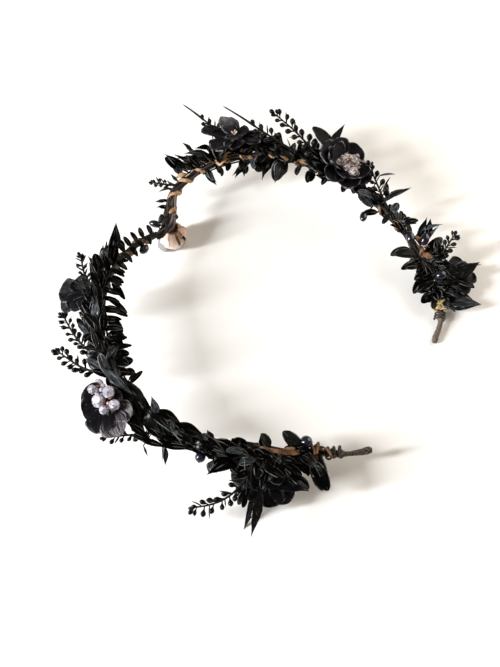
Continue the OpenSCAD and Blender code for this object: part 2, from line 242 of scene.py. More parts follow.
class Shape:
    """Closed skins gathered into one mesh, with surface coordinates and a tint for each skin."""

    def __init__(self):
        self.points, self.tints, self.faces, self.coords, self.parts = [], [], [], [], []
        self.count = 0

    def _add(self, corners, coords, part):
        corners = np.stack(np.broadcast_arrays(*corners), 1)
        self.faces += corners.tolist()
        self.parts += [part] * len(corners)
        self.coords.append(np.stack(np.broadcast_arrays(*coords), 1).reshape(-1, 2))

    def skin(self, rings, tint, part=0):
        """A skin through rings of points, closed at each end by a fan to the ring's middle."""
        rings = np.asarray(rings, float)
        m, n = rings.shape[:2]
        first = self.count
        last = first + (m - 1) * n
        tail = first + m * n
        self.points.append(np.vstack([rings.reshape(-1, 3), rings[0].mean(0), rings[-1].mean(0)]))
        self.tints.append(np.full(m * n + 2, tint))
        self.count += m * n + 2
        i, k = (grid.ravel() for grid in np.meshgrid(range(m - 1), range(n), indexing="ij"))
        here = first + i * n
        k2 = (k + 1) % n
        u, u2 = i / (m - 1), (i + 1) / (m - 1)
        v, v2 = k / n, (k + 1) / n
        self._add((here + k, here + k2, here + n + k2, here + n + k), (u, v, u, v2, u2, v2, u2, v), part)
        k, k2, v, v2 = k[:n], k2[:n], v[:n], v2[:n]
        self._add((tail, first + k2, first + k), (0, v, 0, v2, 0, v), part)
        self._add((tail + 1, last + k, last + k2), (1, v, 1, v, 1, v2), part)

    def sheet(self, foot, axes, places, thick, tint, part):
        """A thin closed sheet from its foot: places along, across and above give its middle face."""
        d, across, upper = axes
        along, aside, lift = (place[..., None] for place in places)
        middle = foot + along * d + aside * across + lift * upper
        half = thick[..., None] / 2 * upper
        self.skin(np.concatenate([middle + half, (middle - half)[:, ::-1]], 1), tint, part)

    def mesh(self, name, smooth_faces):
        """The mesh in metres. What would reach into the table is pressed flat on it."""
        points = np.concatenate(self.points)
        low = points[:, 2] < TABLE_GAP
        points[low, 2] = TABLE_GAP * np.exp(points[low, 2] / TABLE_GAP - 1)
        made = bpy.data.meshes.new(name)
        made.from_pydata((points * MM).tolist(), [], self.faces)
        made.polygons.foreach_set("material_index", self.parts)
        made.polygons.foreach_set("use_smooth", [smooth_faces] * len(self.faces))
        layer = made.uv_layers.new(name="surface")
        layer.data.foreach_set("uv", np.concatenate(self.coords).ravel())
        tint = made.attributes.new("tint", "FLOAT", "POINT")
        tint.data.foreach_set("value", np.concatenate(self.tints))
        whole = bmesh.new()
        whole.from_mesh(made)
        bmesh.ops.recalc_face_normals(whole, faces=whole.faces)
        whole.to_mesh(made)
        whole.free()
        return made


def place_piece(shape, name, finishes, nodes, smooth_faces=True):
    """Makes the object of a shape, which rides on the body and stands for its solids."""
    piece = bpy.data.objects.new(name, shape.mesh(name, smooth_faces))
    for finish in finishes:
        piece.data.materials.append(finish)
    bpy.context.scene.collection.objects.link(piece)
    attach(piece, "root")
    if nodes:
        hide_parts(*nodes)


# Materials
class Value:
    """A number or colour that a node gives. Sums and products of it are made by further nodes."""

    def __init__(self, finish, socket):
        self.finish = finish
        self.socket = socket

    def __add__(self, other):
        return self.finish.math("ADD", self, other)

    def __sub__(self, other):
        return self.finish.math("SUBTRACT", self, other)

    def __mul__(self, other):
        return self.finish.math("MULTIPLY", self, other)

    def __abs__(self):
        return self.finish.math("ABSOLUTE", self)


class Finish:
    """One material, built from nodes on its Principled shader."""

    def __init__(self, name, **sockets):
        self.material = bpy.data.materials.new(name)
        self.material.use_nodes = True
        self.tree = self.material.node_tree
        self.surface = self.tree.nodes["Principled BSDF"]
        for key, value in sockets.items():
            self.surface.inputs[key.replace("_", " ")].default_value = value

    def node(self, kind, inputs, output=0, **settings):
        made = self.tree.nodes.new("ShaderNode" + kind)
        for key, value in settings.items():
            setattr(made, key, value)
        for key, value in inputs.items():
            if isinstance(value, Value):
                self.tree.links.new(value.socket, made.inputs[key])
            else:
                made.inputs[key].default_value = value
        return Value(self, made.outputs[output])

    def math(self, operation, a, b=0.0):
        return self.node("Math", {0: a, 1: b}, operation=operation)

    def tint(self):
        return self.node("Attribute", {}, "Fac", attribute_name="tint")

    def along_across(self):
        """Surface coordinates: 0 to 1 along the piece, and 0 to 1 round or across it."""
        spot = self.node("TexCoord", {}, "UV")
        return [self.node("SeparateXYZ", {0: spot}, axis) for axis in "XY"]

    def off_middle(self, across, half_column=0.0):
        """How far off the middle of a thin sheet, which is 0 there and 0.25 at its rim."""
        return abs(self.math("PINGPONG", across + half_column, 0.5) - 0.25)

    def noise(self, scale, detail=3.0, stretch=None):
        """Noise in the piece's own space, or in surface coordinates where stretch is given."""
        spot = self.node("TexCoord", {}, "UV" if stretch else "Object")
        if stretch:
            spot = self.node("Mapping", {"Vector": spot, "Scale": stretch})
        return self.node("TexNoise", {"Vector": spot, "Scale": scale, "Detail": detail}, "Fac")

    def ramp(self, factor, stops):
        made = self.node("ValToRGB", {"Fac": factor}, "Color")
        ramp = made.socket.node.color_ramp
        while len(ramp.elements) < len(stops):
            ramp.elements.new(0.5)
        for element, (place, colour) in zip(ramp.elements, stops):
            element.position = place
            element.color = (*colour, 1)
        return made

    def blend(self, factor, colour, over):
        return self.node("Mix", {0: factor, 6: colour, 7: (*over, 1)}, 2, data_type="RGBA")

    def range(self, value, low, high, to_low=0.0, to_high=1.0):
        inputs = {"Value": value, "From Min": low, "From Max": high, "To Min": to_low, "To Max": to_high}
        return self.node("MapRange", inputs)

    def join(self, socket, value):
        self.tree.links.new(value.socket, self.surface.inputs[socket])

    def colour(self, factor, stops):
        self.join("Base Color", self.ramp(factor, stops))

    def rough(self, noise, low, high):
        self.join("Roughness", self.range(noise, 0.3, 0.7, low, high))

    def bump(self, height, strength, distance):
        self.join("Normal", self.node(
            "Bump", {"Height": height, "Strength": strength, "Distance": distance * MM}))


def grained_finish(name, noise, share, stops, rough=None, relief=None, **sockets):
    """A finish coloured by a share of noise and the rest of tint, with the noise's relief."""
    f = Finish(name, **sockets)
    grain = f.noise(*noise)
    f.colour(grain * share + f.tint() * (1 - share), stops)
    if rough:
        f.rough(grain, *rough)
    if relief:
        f.bump(grain, *relief)
    return f.material


def leaf_finish():
    """Dyed leaf: near black with an olive cast, glossy, with a raised midrib and side veins. Its rim and
    midrib are painted pale grey in places as painted highlights, and leaves with a high tint get a
    painted blue-grey sheen in streaks."""
    f = Finish("leaf", Specular_IOR_Level=0.08)
    along, across = f.along_across()
    off = f.off_middle(across, LEAF_HALF_COLUMN)
    rib = f.range(off, 0.0, 0.045, 1.0, 0.0)
    edge = f.range(off, 0.182, 0.2)
    vein = f.range(f.math("SINE", (along * 7.0 - off * 9.0) * TAU), 0.55, 1.0)
    mottle = f.noise(600.0, 4.0)
    shade = f.tint() + f.range(mottle, 0.3, 0.7, -0.1, 0.1)
    colour = f.ramp(shade, [(0.0, (0.0001, 0.0001, 0.0002)), (0.45, (0.0006, 0.0007, 0.0005)),
                            (0.8, (0.008, 0.0084, 0.0072))])
    # Painted sheen: where the tint is high, blue-grey streaks stand in for a reflected sheen.
    streak = f.noise(3.0, 5.0, (1.3, 11.0, 1.0))
    painted_sheen = f.range(f.tint(), 0.8, 1.0, 0.0, 0.9) * f.range(streak, 0.46, 0.66)
    colour = f.blend(painted_sheen, colour, (0.17, 0.2, 0.24))
    # Painted highlights: the rim and midrib are painted pale grey in patches.
    painted_glint_spots = f.range(f.noise(190.0), 0.48, 0.6, 0.0, 0.7)
    pale = f.math("MAXIMUM", rib * 0.6, edge) * painted_glint_spots
    f.join("Base Color", f.blend(pale, colour, (0.24, 0.245, 0.24)))
    f.rough(mottle, 0.1, 0.22)
    f.bump(rib * 0.8 + vein * -0.3 + mottle * 0.25, 0.45, 0.22)
    return f.material


def bud_finish():
    """Waxy bud, black with an olive cast and a paler tip."""
    f = Finish("bud", Specular_IOR_Level=0.14)
    along, _ = f.along_across()
    mottle = f.noise(1500.0)
    f.colour(along * 0.5 + f.tint() * 0.5, [
        (0.0, (0.0006, 0.0006, 0.0006)), (0.6, (0.0022, 0.0022, 0.0017)), (1.0, (0.028, 0.027, 0.02))])
    f.rough(mottle, 0.16, 0.3)
    f.bump(mottle, 0.25, 0.1)
    return f.material


def paper_finish(name, deep, mid, pale):
    """Twisted paper cord with creases that run along it."""
    f = Finish(name, Specular_IOR_Level=0.3)
    crease = f.noise(4.0, 5.0, (14.0, 9.0, 1.0))
    shade = crease * 0.6 + f.noise(260.0, 2.0) * 0.4 + f.range(f.tint(), 0.0, 1.0, -0.16, 0.1)
    f.colour(shade, [(0.34, deep), (0.5, mid), (0.66, pale)])
    f.rough(crease, 0.75, 0.5)
    f.bump(crease, 0.8, 0.3)
    return f.material


def tape_finish():
    """Grey-brown floral tape, wound on a slant, with pale worn edges."""
    f = Finish("tape", Specular_IOR_Level=0.25)
    along, across = f.along_across()
    turn = f.math("FRACT", along * 9.0 + across)
    edge = f.range(turn, 0.0, 0.16, 1.0, 0.0)
    worn = f.noise(3.0, 5.0, (26.0, 4.0, 1.0)) + f.range(f.tint(), 0.5, 1.0, 0.0, 0.12)
    colour = f.ramp(worn, [(0.4, (0.0025, 0.0015, 0.0012)), (0.53, (0.014, 0.0105, 0.008)),
                           (0.66, (0.19, 0.15, 0.12))])
    f.join("Base Color", f.blend(edge * 0.3, colour, (0.09, 0.062, 0.048)))
    f.rough(worn, 0.35, 0.6)
    f.bump(turn * 0.7 + worn, 0.6, 0.25)
    return f.material


def petal_finish():
    """Satin petal, violet black and finely pleated: grey mauve where the tint is high, with a pale silver
    line on its rim in places that is a painted highlight."""
    f = Finish("petal", Specular_IOR_Level=0.12, Sheen_Weight=0.03, Sheen_Roughness=0.4)
    along, across = f.along_across()
    pleat = f.noise(3.0, 4.0, (1.6, 26.0, 1.0))
    fine = f.noise(3.0, 3.0, (4.0, 90.0, 1.0))
    blotch = f.noise(300.0, 3.0)
    off = f.off_middle(across, PETAL_HALF_COLUMN)
    rim = f.math("MAXIMUM", f.range(off, 0.205, 0.222), f.range(along, 0.88, 0.96))
    shade = f.range(along, 0.1, 0.95, 0.35, 1.0) * f.tint() + f.range(pleat, 0.36, 0.64, -0.3, 0.24)
    colour = f.ramp(shade, [(0.0, (0.0008, 0.0007, 0.0012)), (0.42, (0.003, 0.0024, 0.004)),
                            (0.62, (0.022, 0.018, 0.024)), (0.82, (0.11, 0.1, 0.112)),
                            (1.0, (0.26, 0.24, 0.245))])
    # Painted highlight: a pale silver line on the rim and the tip, in patches.
    painted_rim_highlight = rim * f.range(blotch, 0.46, 0.62, 0.02, 0.75)
    f.join("Base Color", f.blend(painted_rim_highlight, colour, (0.3, 0.29, 0.34)))
    f.rough(fine, 0.28, 0.48)
    f.bump(pleat * 1.4 + fine * 0.5, 0.6, 0.35)
    return f.material


def rose_finish():
    """Dried rose petal: cream and pink, browned at its edges and along its folds."""
    f = Finish("rose", Specular_IOR_Level=0.3, Sheen_Weight=0.1, Subsurface_Weight=0.08,
               Subsurface_Radius=(0.002, 0.001, 0.0006))
    along, across = f.along_across()
    vein = f.noise(3.0, 5.0, (2.2, 30.0, 1.0))
    blotch = f.noise(330.0, 3.0)
    edge = f.math("MAXIMUM", f.range(along, 0.86, 0.98), f.range(f.off_middle(across), 0.17, 0.225))
    shade = vein * 0.5 + blotch * 0.3 + f.tint() * 0.3 - f.range(along, 0.05, 0.5, 0.22, 0.0)
    colour = f.ramp(shade, [(0.2, (0.2, 0.1, 0.045)), (0.32, (0.5, 0.31, 0.2)),
                            (0.44, (0.66, 0.46, 0.37)), (0.6, (0.77, 0.59, 0.51)),
                            (0.78, (0.85, 0.75, 0.69))])
    browned = edge * f.range(blotch, 0.4, 0.56, 0.35, 1.0)
    f.join("Base Color", f.blend(browned, colour, (0.1, 0.042, 0.016)))
    f.rough(vein, 0.5, 0.75)
    f.bump(vein + blotch * 0.4, 0.6, 0.3)
    return f.material


def crystal_finish(name, clear, dark, mid, pale):
    """Cut glass with a rainbow coat: each facet is painted a tone of its own, from dark to white, as
    painted glints and reflections.
    """
    f = Finish(name, Roughness=0.04, IOR=1.6, Transmission_Weight=clear, Coat_Weight=0.6,
               Coat_Roughness=0.02, Thin_Film_Thickness=330, Thin_Film_IOR=1.4)
    normal = f.node("NewGeometry", {}, "True Normal")
    facet = f.node("VectorMath", {0: normal, 1: (0.2, 0.2, 0.2)}, operation="SNAP")
    # Painted glints and reflections: a random tone for each facet.
    painted_facet_glint = f.node("TexWhiteNoise", {"Vector": facet}, "Value")
    f.colour(painted_facet_glint * 0.8 + f.tint() * 0.25, [
        (0.0, dark), (0.3, dark), (0.5, mid), (0.72, pale), (1.0, (1.0, 0.99, 0.97))])
    return f.material


# Building blocks
def tube(shape, path, radii, sides=8, tint=0.5, part=0):
    """A round stem along a path, with one radius or a radius for each of its points."""
    path = np.asarray(path, float)
    ways = np.gradient(path, axis=0)
    ways /= np.linalg.norm(ways, axis=1)[:, None]
    side = side_of(ways[0])
    rings = []
    for point, way, r in zip(path, ways, np.broadcast_to(radii, len(path))):
        side = unit(side - (side @ way) * way)
        rings.append(point + r * circle(sides, side, np.cross(way, side)))
    shape.skin(rings, tint, part)


PROFILES = {
    "pointed": [(0, 0.1), (0.08, 0.3), (0.2, 0.68), (0.42, 1), (0.6, 0.82), (0.78, 0.42),
                (0.92, 0.12), (1, 0.02)],
    "oval": [(0, 0.12), (0.06, 0.34), (0.16, 0.68), (0.45, 1), (0.7, 0.92), (0.88, 0.62),
             (0.96, 0.34), (1, 0.05)],
    "fern": [(0, 0.16), (0.08, 0.55), (0.25, 0.96), (0.45, 1), (0.75, 0.82), (0.9, 0.52),
             (0.97, 0.28), (1, 0.04)],
    "round": [(0, 0.14), (0.1, 0.3), (0.3, 0.62), (0.6, 0.99), (0.8, 0.93), (0.92, 0.66),
              (0.98, 0.34), (1, 0.1)],
    "needle": [(0, 0.6), (0.3, 1), (0.7, 0.8), (1, 0.1)],
}
LEAF_STEPS = np.array([0, 0.05, 0.12, 0.2, 0.31, 0.44, 0.58, 0.71, 0.82, 0.91, 0.965, 0.99])
LEAF_COLUMNS = np.array([1, 0.62, 0.2, 0, -0.2, -0.62, -1])
LEAF_HALF_COLUMN = 0.25 / len(LEAF_COLUMNS)
LEAF_MID = 0.34
LEAF_EDGE = 0.1
PETAL_STEPS = np.concatenate([np.linspace(0, 0.9, 13), [0.94, 0.97, 0.99]])
PETAL_COLUMNS = np.linspace(1, -1, 13)
PETAL_HALF_COLUMN = 0.25 / len(PETAL_COLUMNS)
PETAL_THICK = 0.45
RUFFLE = 0.085
BUD_GIRTH = [(0, 0.22), (0.3, 0.26), (0.42, 0.5), (0.56, 0.86), (0.7, 1), (0.84, 0.86), (0.94, 0.5),
             (0.99, 0.18)]
BUD_SIDES = 8
POLE = 0.06


def leaf(shape, p, d, length, width, profile, arch, roll, tint, part, fold, curl, sway=0.0):
    """A thin closed leaf from p along d, folded along its midrib, arched, curled and swayed."""
    d = unit(d)
    across = turned(roll, side_of(d), top_of(d))
    u, v = LEAF_STEPS[:, None], LEAF_COLUMNS
    half = width / 2 * smooth(PROFILES[profile], LEAF_STEPS)[:, None]
    lift = length * (arch * 4 * u * (1 - u) - curl * u ** 2.5) + fold * np.abs(v) * half
    aside = half * v + sway * length * u * u
    thick = (LEAF_EDGE + (LEAF_MID - LEAF_EDGE) * (1 - v * v)) * np.minimum(1, half + 0.25)
    shape.sheet(p, (d, across, np.cross(d, across)), (length * u, aside, lift), thick, tint, part)


def petal(shape, p, d, upper, length, width, bend, cup, tint, rng, profile, part=0):
    """A thin closed petal: wavy at its rim, pleated towards its foot."""
    u, v = PETAL_STEPS[:, None], PETAL_COLUMNS
    phase = rng.uniform(0, TAU)
    ragged = 1 + 0.05 * np.sin(PETAL_STEPS * 17 + phase) * PETAL_STEPS
    half = width / 2 * (smooth(PROFILES[profile], PETAL_STEPS) * ragged)[:, None]
    wave = RUFFLE * width * u * u * np.abs(v) ** 1.5 * np.sin(v * 6.5 + phase + 3 * u)
    pleat = 0.022 * width * np.cos(v * 15 + phase) * (1 - 0.5 * u)
    lift = length * bend * u * u + width * cup * half / (width / 2) * v * v + wave + pleat
    lift = lift - length * 0.05 * u ** 6
    thick = PETAL_THICK * (1 - 0.7 * v * v) * (1 - 0.5 * u ** 4)
    shape.sheet(p, (d, np.cross(upper, d), upper), (length * u, half * v, lift), thick, tint, part)


def bud(shape, p, d, length, r, tint, part=0):
    """A smooth bud that swells towards its end, on a short stalk."""
    d = unit(d)
    ring = circle(BUD_SIDES, side_of(d), top_of(d))
    shape.skin([p + u * length * d + r * k * ring for u, k in BUD_GIRTH], tint, part)


def ball(shape, centre, d, length, width, tint, part, sides, rows):
    """A smooth oval bead, long along d."""
    d = unit(d)
    ring = circle(sides, side_of(d), top_of(d))
    shape.skin([centre - length / 2 * math.cos(a) * d + width / 2 * math.sin(a) * ring
                for a in np.linspace(POLE, math.pi - POLE, rows)], tint, part)


LEAF = leaf_finish()
# Bark of a twig or sprig: black brown with lengthwise grain
STEM = grained_finish(
    "stem", (5.0, 4.0, (30.0, 6.0, 1.0)), 1, [
        (0.3, (0.002, 0.002, 0.002)), (0.7, (0.018, 0.0175, 0.016))],
    relief=(0.4, 0.15), Specular_IOR_Level=0.15, Roughness=0.4)
BUD = bud_finish()
# Strands of the band: dark brown with lengthwise grain; the mauve grey of the paler strands is a painted
# sheen
BARK = grained_finish(
    "band", (6.0, 5.0, (160.0, 5.0, 1.0)), 0.5, [
        (0.22, (0.003, 0.002, 0.002)), (0.5, (0.02, 0.013, 0.011)),
        (0.68, (0.075, 0.052, 0.048)), (0.86, (0.24, 0.19, 0.185))],
    (0.35, 0.55), (0.6, 0.2), Specular_IOR_Level=0.3)
KRAFT = paper_finish("kraft", (0.06, 0.022, 0.008), (0.34, 0.185, 0.085), (0.68, 0.47, 0.29))
GOLD = paper_finish("ochre", (0.1, 0.055, 0.022), (0.46, 0.31, 0.13), (0.82, 0.69, 0.45))
TAPE = tape_finish()
PETAL = petal_finish()
ROSE = rose_finish()
# Dried green cup of the rosebud: straw and brown
CALYX = grained_finish(
    "calyx", (3.0, 5.0, (3.0, 16.0, 1.0)), 1, [
        (0.3, (0.022, 0.009, 0.004)), (0.52, (0.1, 0.048, 0.018)), (0.72, (0.38, 0.23, 0.1))],
    relief=(0.7, 0.25), Specular_IOR_Level=0.3, Roughness=0.65)
CLEAR = crystal_finish("crystal_clear", 0.45, (0.26, 0.24, 0.3), (0.7, 0.68, 0.8), (0.96, 0.95, 1.0))
SMOKY = crystal_finish("crystal_smoky", 0.4, (0.12, 0.09, 0.07), (0.45, 0.4, 0.37), (0.8, 0.76, 0.73))
# Lacquered violet-black pearl
BERRY = grained_finish(
    "berry", (220.0, 2.0), 1, [(0.35, (0.0015, 0.001, 0.004)), (0.65, (0.006, 0.0045, 0.018))],
    (0.16, 0.3), Coat_Weight=0.5, Coat_Roughness=0.08, Specular_IOR_Level=0.4)
# Small rose-gold pearl bead
SEED = grained_finish(
    "seed", (900.0, 2.0), 0.4, [
        (0.2, (0.09, 0.035, 0.025)), (0.5, (0.5, 0.27, 0.18)), (0.8, (0.85, 0.62, 0.5))],
    (0.2, 0.35), Metallic=0.55, Coat_Weight=0.7, Coat_Roughness=0.1)
# Matt white table top with a very faint grain
TABLE = grained_finish(
    "table", (90.0, 3.0), 1, [(0.3, (0.9, 0.895, 0.885)), (0.7, (0.92, 0.915, 0.905))],
    Specular_IOR_Level=0.2, Roughness=0.7)


# Band and its taped ends
STRANDS = 5
STRAND_R = 0.66
STRAND_OFF = 1.04
STRAND_STEP = 1.1
CORE_R = 0.6
BAND_TURNS = 7
# Loose strands that run beside the bundle: from, to, clock at each end, distance, radius, tint, which is
# high on the strands with the painted mauve sheen
LOOSE = [
    (-9, 9, 200, -60, 2.7, 0.75, 0.1), (-7, 12, -40, 60, 2.6, 0.8, 0.3),
    (-4, 15, 40, -20, 3.3, 0.7, 0.15), (-2, 22, 190, 120, 2.2, 0.65, 0.95),
    (2, 30, -10, 50, 2.2, 0.6, 0.5), (-66, -36, 150, 100, 2.2, 0.75, 0.75),
    (162, 200, 150, 185, 2.3, 0.6, 0.15), (164, 206, 120, 150, 2.4, 0.55, 0.2),
    (30, 66, 150, 60, 2.2, 0.6, 0.6), (76, 118, 200, 90, 2.2, 0.65, 0.5),
    (128, 172, 40, 160, 2.2, 0.65, 0.3), (-150, -98, 170, 60, 2.2, 0.7, 0.3),
    (-198, -160, 60, 170, 2.2, 0.65, 0.5),
]
# Dark knots by the front of the band: place, out, up, length, width
DARK_KNOTS = [(6.6, -2.6, 0.4, 2.6, 2.3), (2.5, 2.6, 1.4, 6.5, 3.2), (7.5, 2.8, 1.0, 5.0, 2.8),
              (4, 5, 1.2, 5.5, 2.6)]


def make_band():
    """Strands wound round a core, with loose strands and dark knots beside them."""
    shape = Shape()
    places = np.arange(LEFT_END, RIGHT_END + 0.1, STRAND_STEP)
    spots = [(band_at(s), outward(s), lifted(s)) for s in places]
    share = (places - LEFT_END) / (RIGHT_END - LEFT_END)
    for k in range(STRANDS):
        angle = TAU * (k / STRANDS + BAND_TURNS * share + 0.04 * np.sin(share * 60 + k * 2))
        off = STRAND_OFF + 0.1 * np.sin(share * 90 + k * 1.7)
        path = [p + o * (math.cos(a) * out + math.sin(a) * up)
                for (p, out, up), a, o in zip(spots, angle, off)]
        radius = STRAND_R * (1 + 0.1 * np.sin(share * 140 + k * 3.1))
        tube(shape, path, radius, 8, k / (STRANDS - 1))
    tube(shape, [p for p, _, _ in spots], CORE_R, 6, 0.2)
    for start, end, first, last, off, r, tint in LOOSE:
        steps = int((end - start) / STRAND_STEP)
        path = []
        for u in np.arange(steps + 1) / steps:
            close = 1 - 0.45 * (1 - min(1, 8 * u * (1 - u)))
            path.append(beside(between(start, end, u), between(first, last, u), off * close))
        tube(shape, path, r, 8, tint)
    for s, out, up, length, width in DARK_KNOTS:
        ball(shape, off_band(s, out, up), course(s), length, width, 0.05, 0, 14, 9)
    place_piece(shape, "band_strands", [BARK], ["band"])


# Radius along each taped end, how far it sways outward, the coil round it from and to, the coil's
# radius, tint
TIPS = {
    "tip_left": ([(-228.5, 1.2), (-227, 1.7), (-224, 1.55), (-220.3, 1.25), (-215.5, 1.35),
                  (-213.5, 2.2), (-212, 1.6), (-210, 2.4), (-208.3, 1.8), (-206.3, 2.2)],
                 1.6, -206.5, -214, 0.85, 0.6),
    "tip_right": ([(212.3, 2.2), (213.8, 1.7), (215.5, 2.1), (217, 1.45), (220.3, 1.3),
                   (224, 1.4), (227, 1.5), (228.8, 1.3), (229.5, 0.9)],
                  1.3, 212.5, 216.5, 0.5, 0.95),
}
TAPE_START = 206
SWAY_REACH = 26
TIP_SIDES = 20
TIP_RINGS = 90
TAPE_PITCH = 2.6
COIL_TURNS = 2.6
COIL_OFF = 2.1
COIL_STEPS = 60


def make_tip(name, rows, sway, start, end, coil_r, tint):
    """A taped end: its radius follows rows of (place, radius), with a slanting ridge for each turn."""
    shape = Shape()
    first, last = rows[0][0], rows[-1][0]
    places = np.linspace(first, last, TIP_RINGS)
    angles = TAU * np.arange(TIP_SIDES) / TIP_SIDES
    rings = []
    for s, r in zip(places, smooth(rows, places)):
        turn = (angles / TAU + (s - first) / TAPE_PITCH) % 1
        ridge = r * (1 + 0.09 * turn + 0.03 * np.sin(3 * angles + s))
        out = sway * math.sin(math.pi * min(0.8, (abs(s) - TAPE_START) / SWAY_REACH))
        ring = circle(TIP_SIDES, outward(s), lifted(s))
        rings.append(band_at(s) + out * outward(s) + ridge[:, None] * ring)
    shape.skin(rings, tint)
    coil = [beside(between(start, end, i / COIL_STEPS), 360 * COIL_TURNS * i / COIL_STEPS,
                   COIL_OFF + 0.35 * math.sin(i * 0.55)) for i in range(COIL_STEPS + 1)]
    tube(shape, coil, coil_r)
    place_piece(shape, name + "_tape", [TAPE], [name])


# Paper cords: from, to, turns, start angle, how light it is, finish, then two lists.
# Its loose curls: place, clock, turn, rise, length, width, curl.
# Its open loops: place, clock of the middle, its distance, radius, turn, rise.
WRAPS = {
    "wrap_front_left": (-50, -9, 3.5, 200, 0.3, KRAFT, [], []),
    "wrap_front_right": (8, 58, 5, 60, 0.8, KRAFT, [
        (44, 60, -60, 30, 7, 3, 0.3), (52, 90, 90, 20, 8, 3.5, 0.2), (56, 120, -100, 25, 7, 4, 0.4),
        (57, 100, 60, 35, 6, 3.5, 0.5), (33, 30, -70, 20, 6, 2.4, 0.3),
    ], [
        (55, 90, 3.4, 2.4, 160, 20),
    ]),
    "wrap_top": (65, 104, 3, 100, 0.6, KRAFT, [
        (64, 100, 60, 15, 6, 3, 0.3), (81, 70, 125, 15, 9, 2.8, 0.2), (92, 110, 100, 5, 9, 2.2, 0.1),
    ], [
        (63, 90, 3, 2.2, 140, 30),
    ]),
    "wrap_right": (134, 181, 4, 145, 0.45, KRAFT, [
        (137, 100, -90, 20, 6, 2.6, 0.3), (160, 70, -100, 30, 6, 2.6, 0.3),
        (176, 70, -70, 35, 7, 3, 0.2), (179, 90, 80, 30, 6, 3, 0.4),
    ], [
        (178, 60, 3.2, 2.6, 100, 20),
    ]),
    "wrap_lower_left": (-166, -130, 2.25, 200, 0.15, KRAFT, [], []),
    "wrap_end_left": (-196, -172, 1.25, 90, 0.2, KRAFT, [
        (-176, 80, 60, 20, 8, 2.6, 0.2), (-184, 90, -80, 20, 9, 2.6, 0.1),
        (-172, 125, -77, -5, 22, 2.2, 0.02),
    ], []),
    "coil_end_left": (-204.5, -198.5, 2.2, 0, 0.25, KRAFT, [
        (-202, 60, 30, 40, 7, 2.6, 0.5), (-200, 120, 150, 40, 6, 2.6, 0.5),
        (-203, -40, -20, 10, 6, 2.4, 0.3),
    ], [
        (-199.5, 90, 1.5, 4, 80, 10), (-203, 80, 1.2, 4.6, 105, -8), (-206, 60, 1, 3.8, 60, 20),
        (-201.5, 100, 1.5, 3.4, 130, 15),
    ]),
    "knot_right": (207, 210.6, 1.5, 0, 0.6, GOLD, [
        (208, 20, 10, 30, 3, 2.2, 0.6), (209, 150, 170, 30, 3, 2.2, 0.6),
    ], [
        (208, 60, 1.6, 2.4, 70, 20), (209.5, 120, 1.6, 2.2, 120, 30), (207, 150, 1.4, 2, 30, 10),
        (210, 20, 1.6, 1.9, 100, -20),
    ]),
}
CORD_SIDES = 18
CORD_PLIES = 3
PLY_TWIST = 0.42
STEPS_PER_TURN = 44
LOOP_SHARE = 0.6


def cord_rings(spots, aways, share=1.0):
    """Rings of a twisted paper cord whose flat side faces away from what it is wound on."""
    spots = np.asarray(spots, float)
    ways = np.gradient(spots, axis=0)
    angles = TAU * np.arange(CORD_SIDES) / CORD_SIDES
    last = len(spots) - 1
    rings = []
    for i, (spot, way, away) in enumerate(zip(spots, ways, aways)):
        flat = unit(np.cross(unit(way), away))
        swell = min(1, 0.45 + i / 6, 0.45 + (last - i) / 6) * (1 + 0.12 * math.sin(i * 0.23))
        ply = swell * (1 + 0.17 * np.cos(CORD_PLIES * angles + i * PLY_TWIST))
        wide = share * CORD_W / 2 * ply * np.cos(angles)
        high = CORD_T / 2 * 1.15 * ply * np.sin(angles)
        rings.append(spot + wide[:, None] * flat + high[:, None] * away)
    return rings


def make_wrap(name, start, end, turns, angle, light, finish, curls, loops):
    """A paper cord wound round the band, with loose curls and loops where there are any."""
    shape = Shape()
    steps = max(24, int(turns * STEPS_PER_TURN))
    places = [between(start, end, i / steps) for i in range(steps + 1)]
    aways = [round_band(s, angle + 360 * turns * i / steps) for i, s in enumerate(places)]
    spots = [band_at(s) + (BAND_R + SEAT + CORD_T / 2) * away for s, away in zip(places, aways)]
    shape.skin(cord_rings(spots, aways), light)
    for s, clock, turn, rise, length, width, curl in curls:
        leaf(shape, beside(s, clock, BAND_R + 0.5), heading(s, turn, rise), length, width, "round",
             0.1, vary(int(s), 30), light, 0, 0.3, curl, 0.1)
    for s, clock, off, r, turn, rise in loops:
        axis = heading(s, turn, rise)
        sways = np.linspace(-60, 285, 40)
        aways = [turned(a, side_of(axis), top_of(axis)) for a in sways]
        spots = [beside(s, clock, off) + r * (1 + 0.12 * sind(2 * a)) * away
                 + 0.35 * math.radians(a) * axis for a, away in zip(sways, aways)]
        shape.skin(cord_rings(spots, aways, LOOP_SHARE), light)
    place_piece(shape, name + "_cord", [finish], [name])
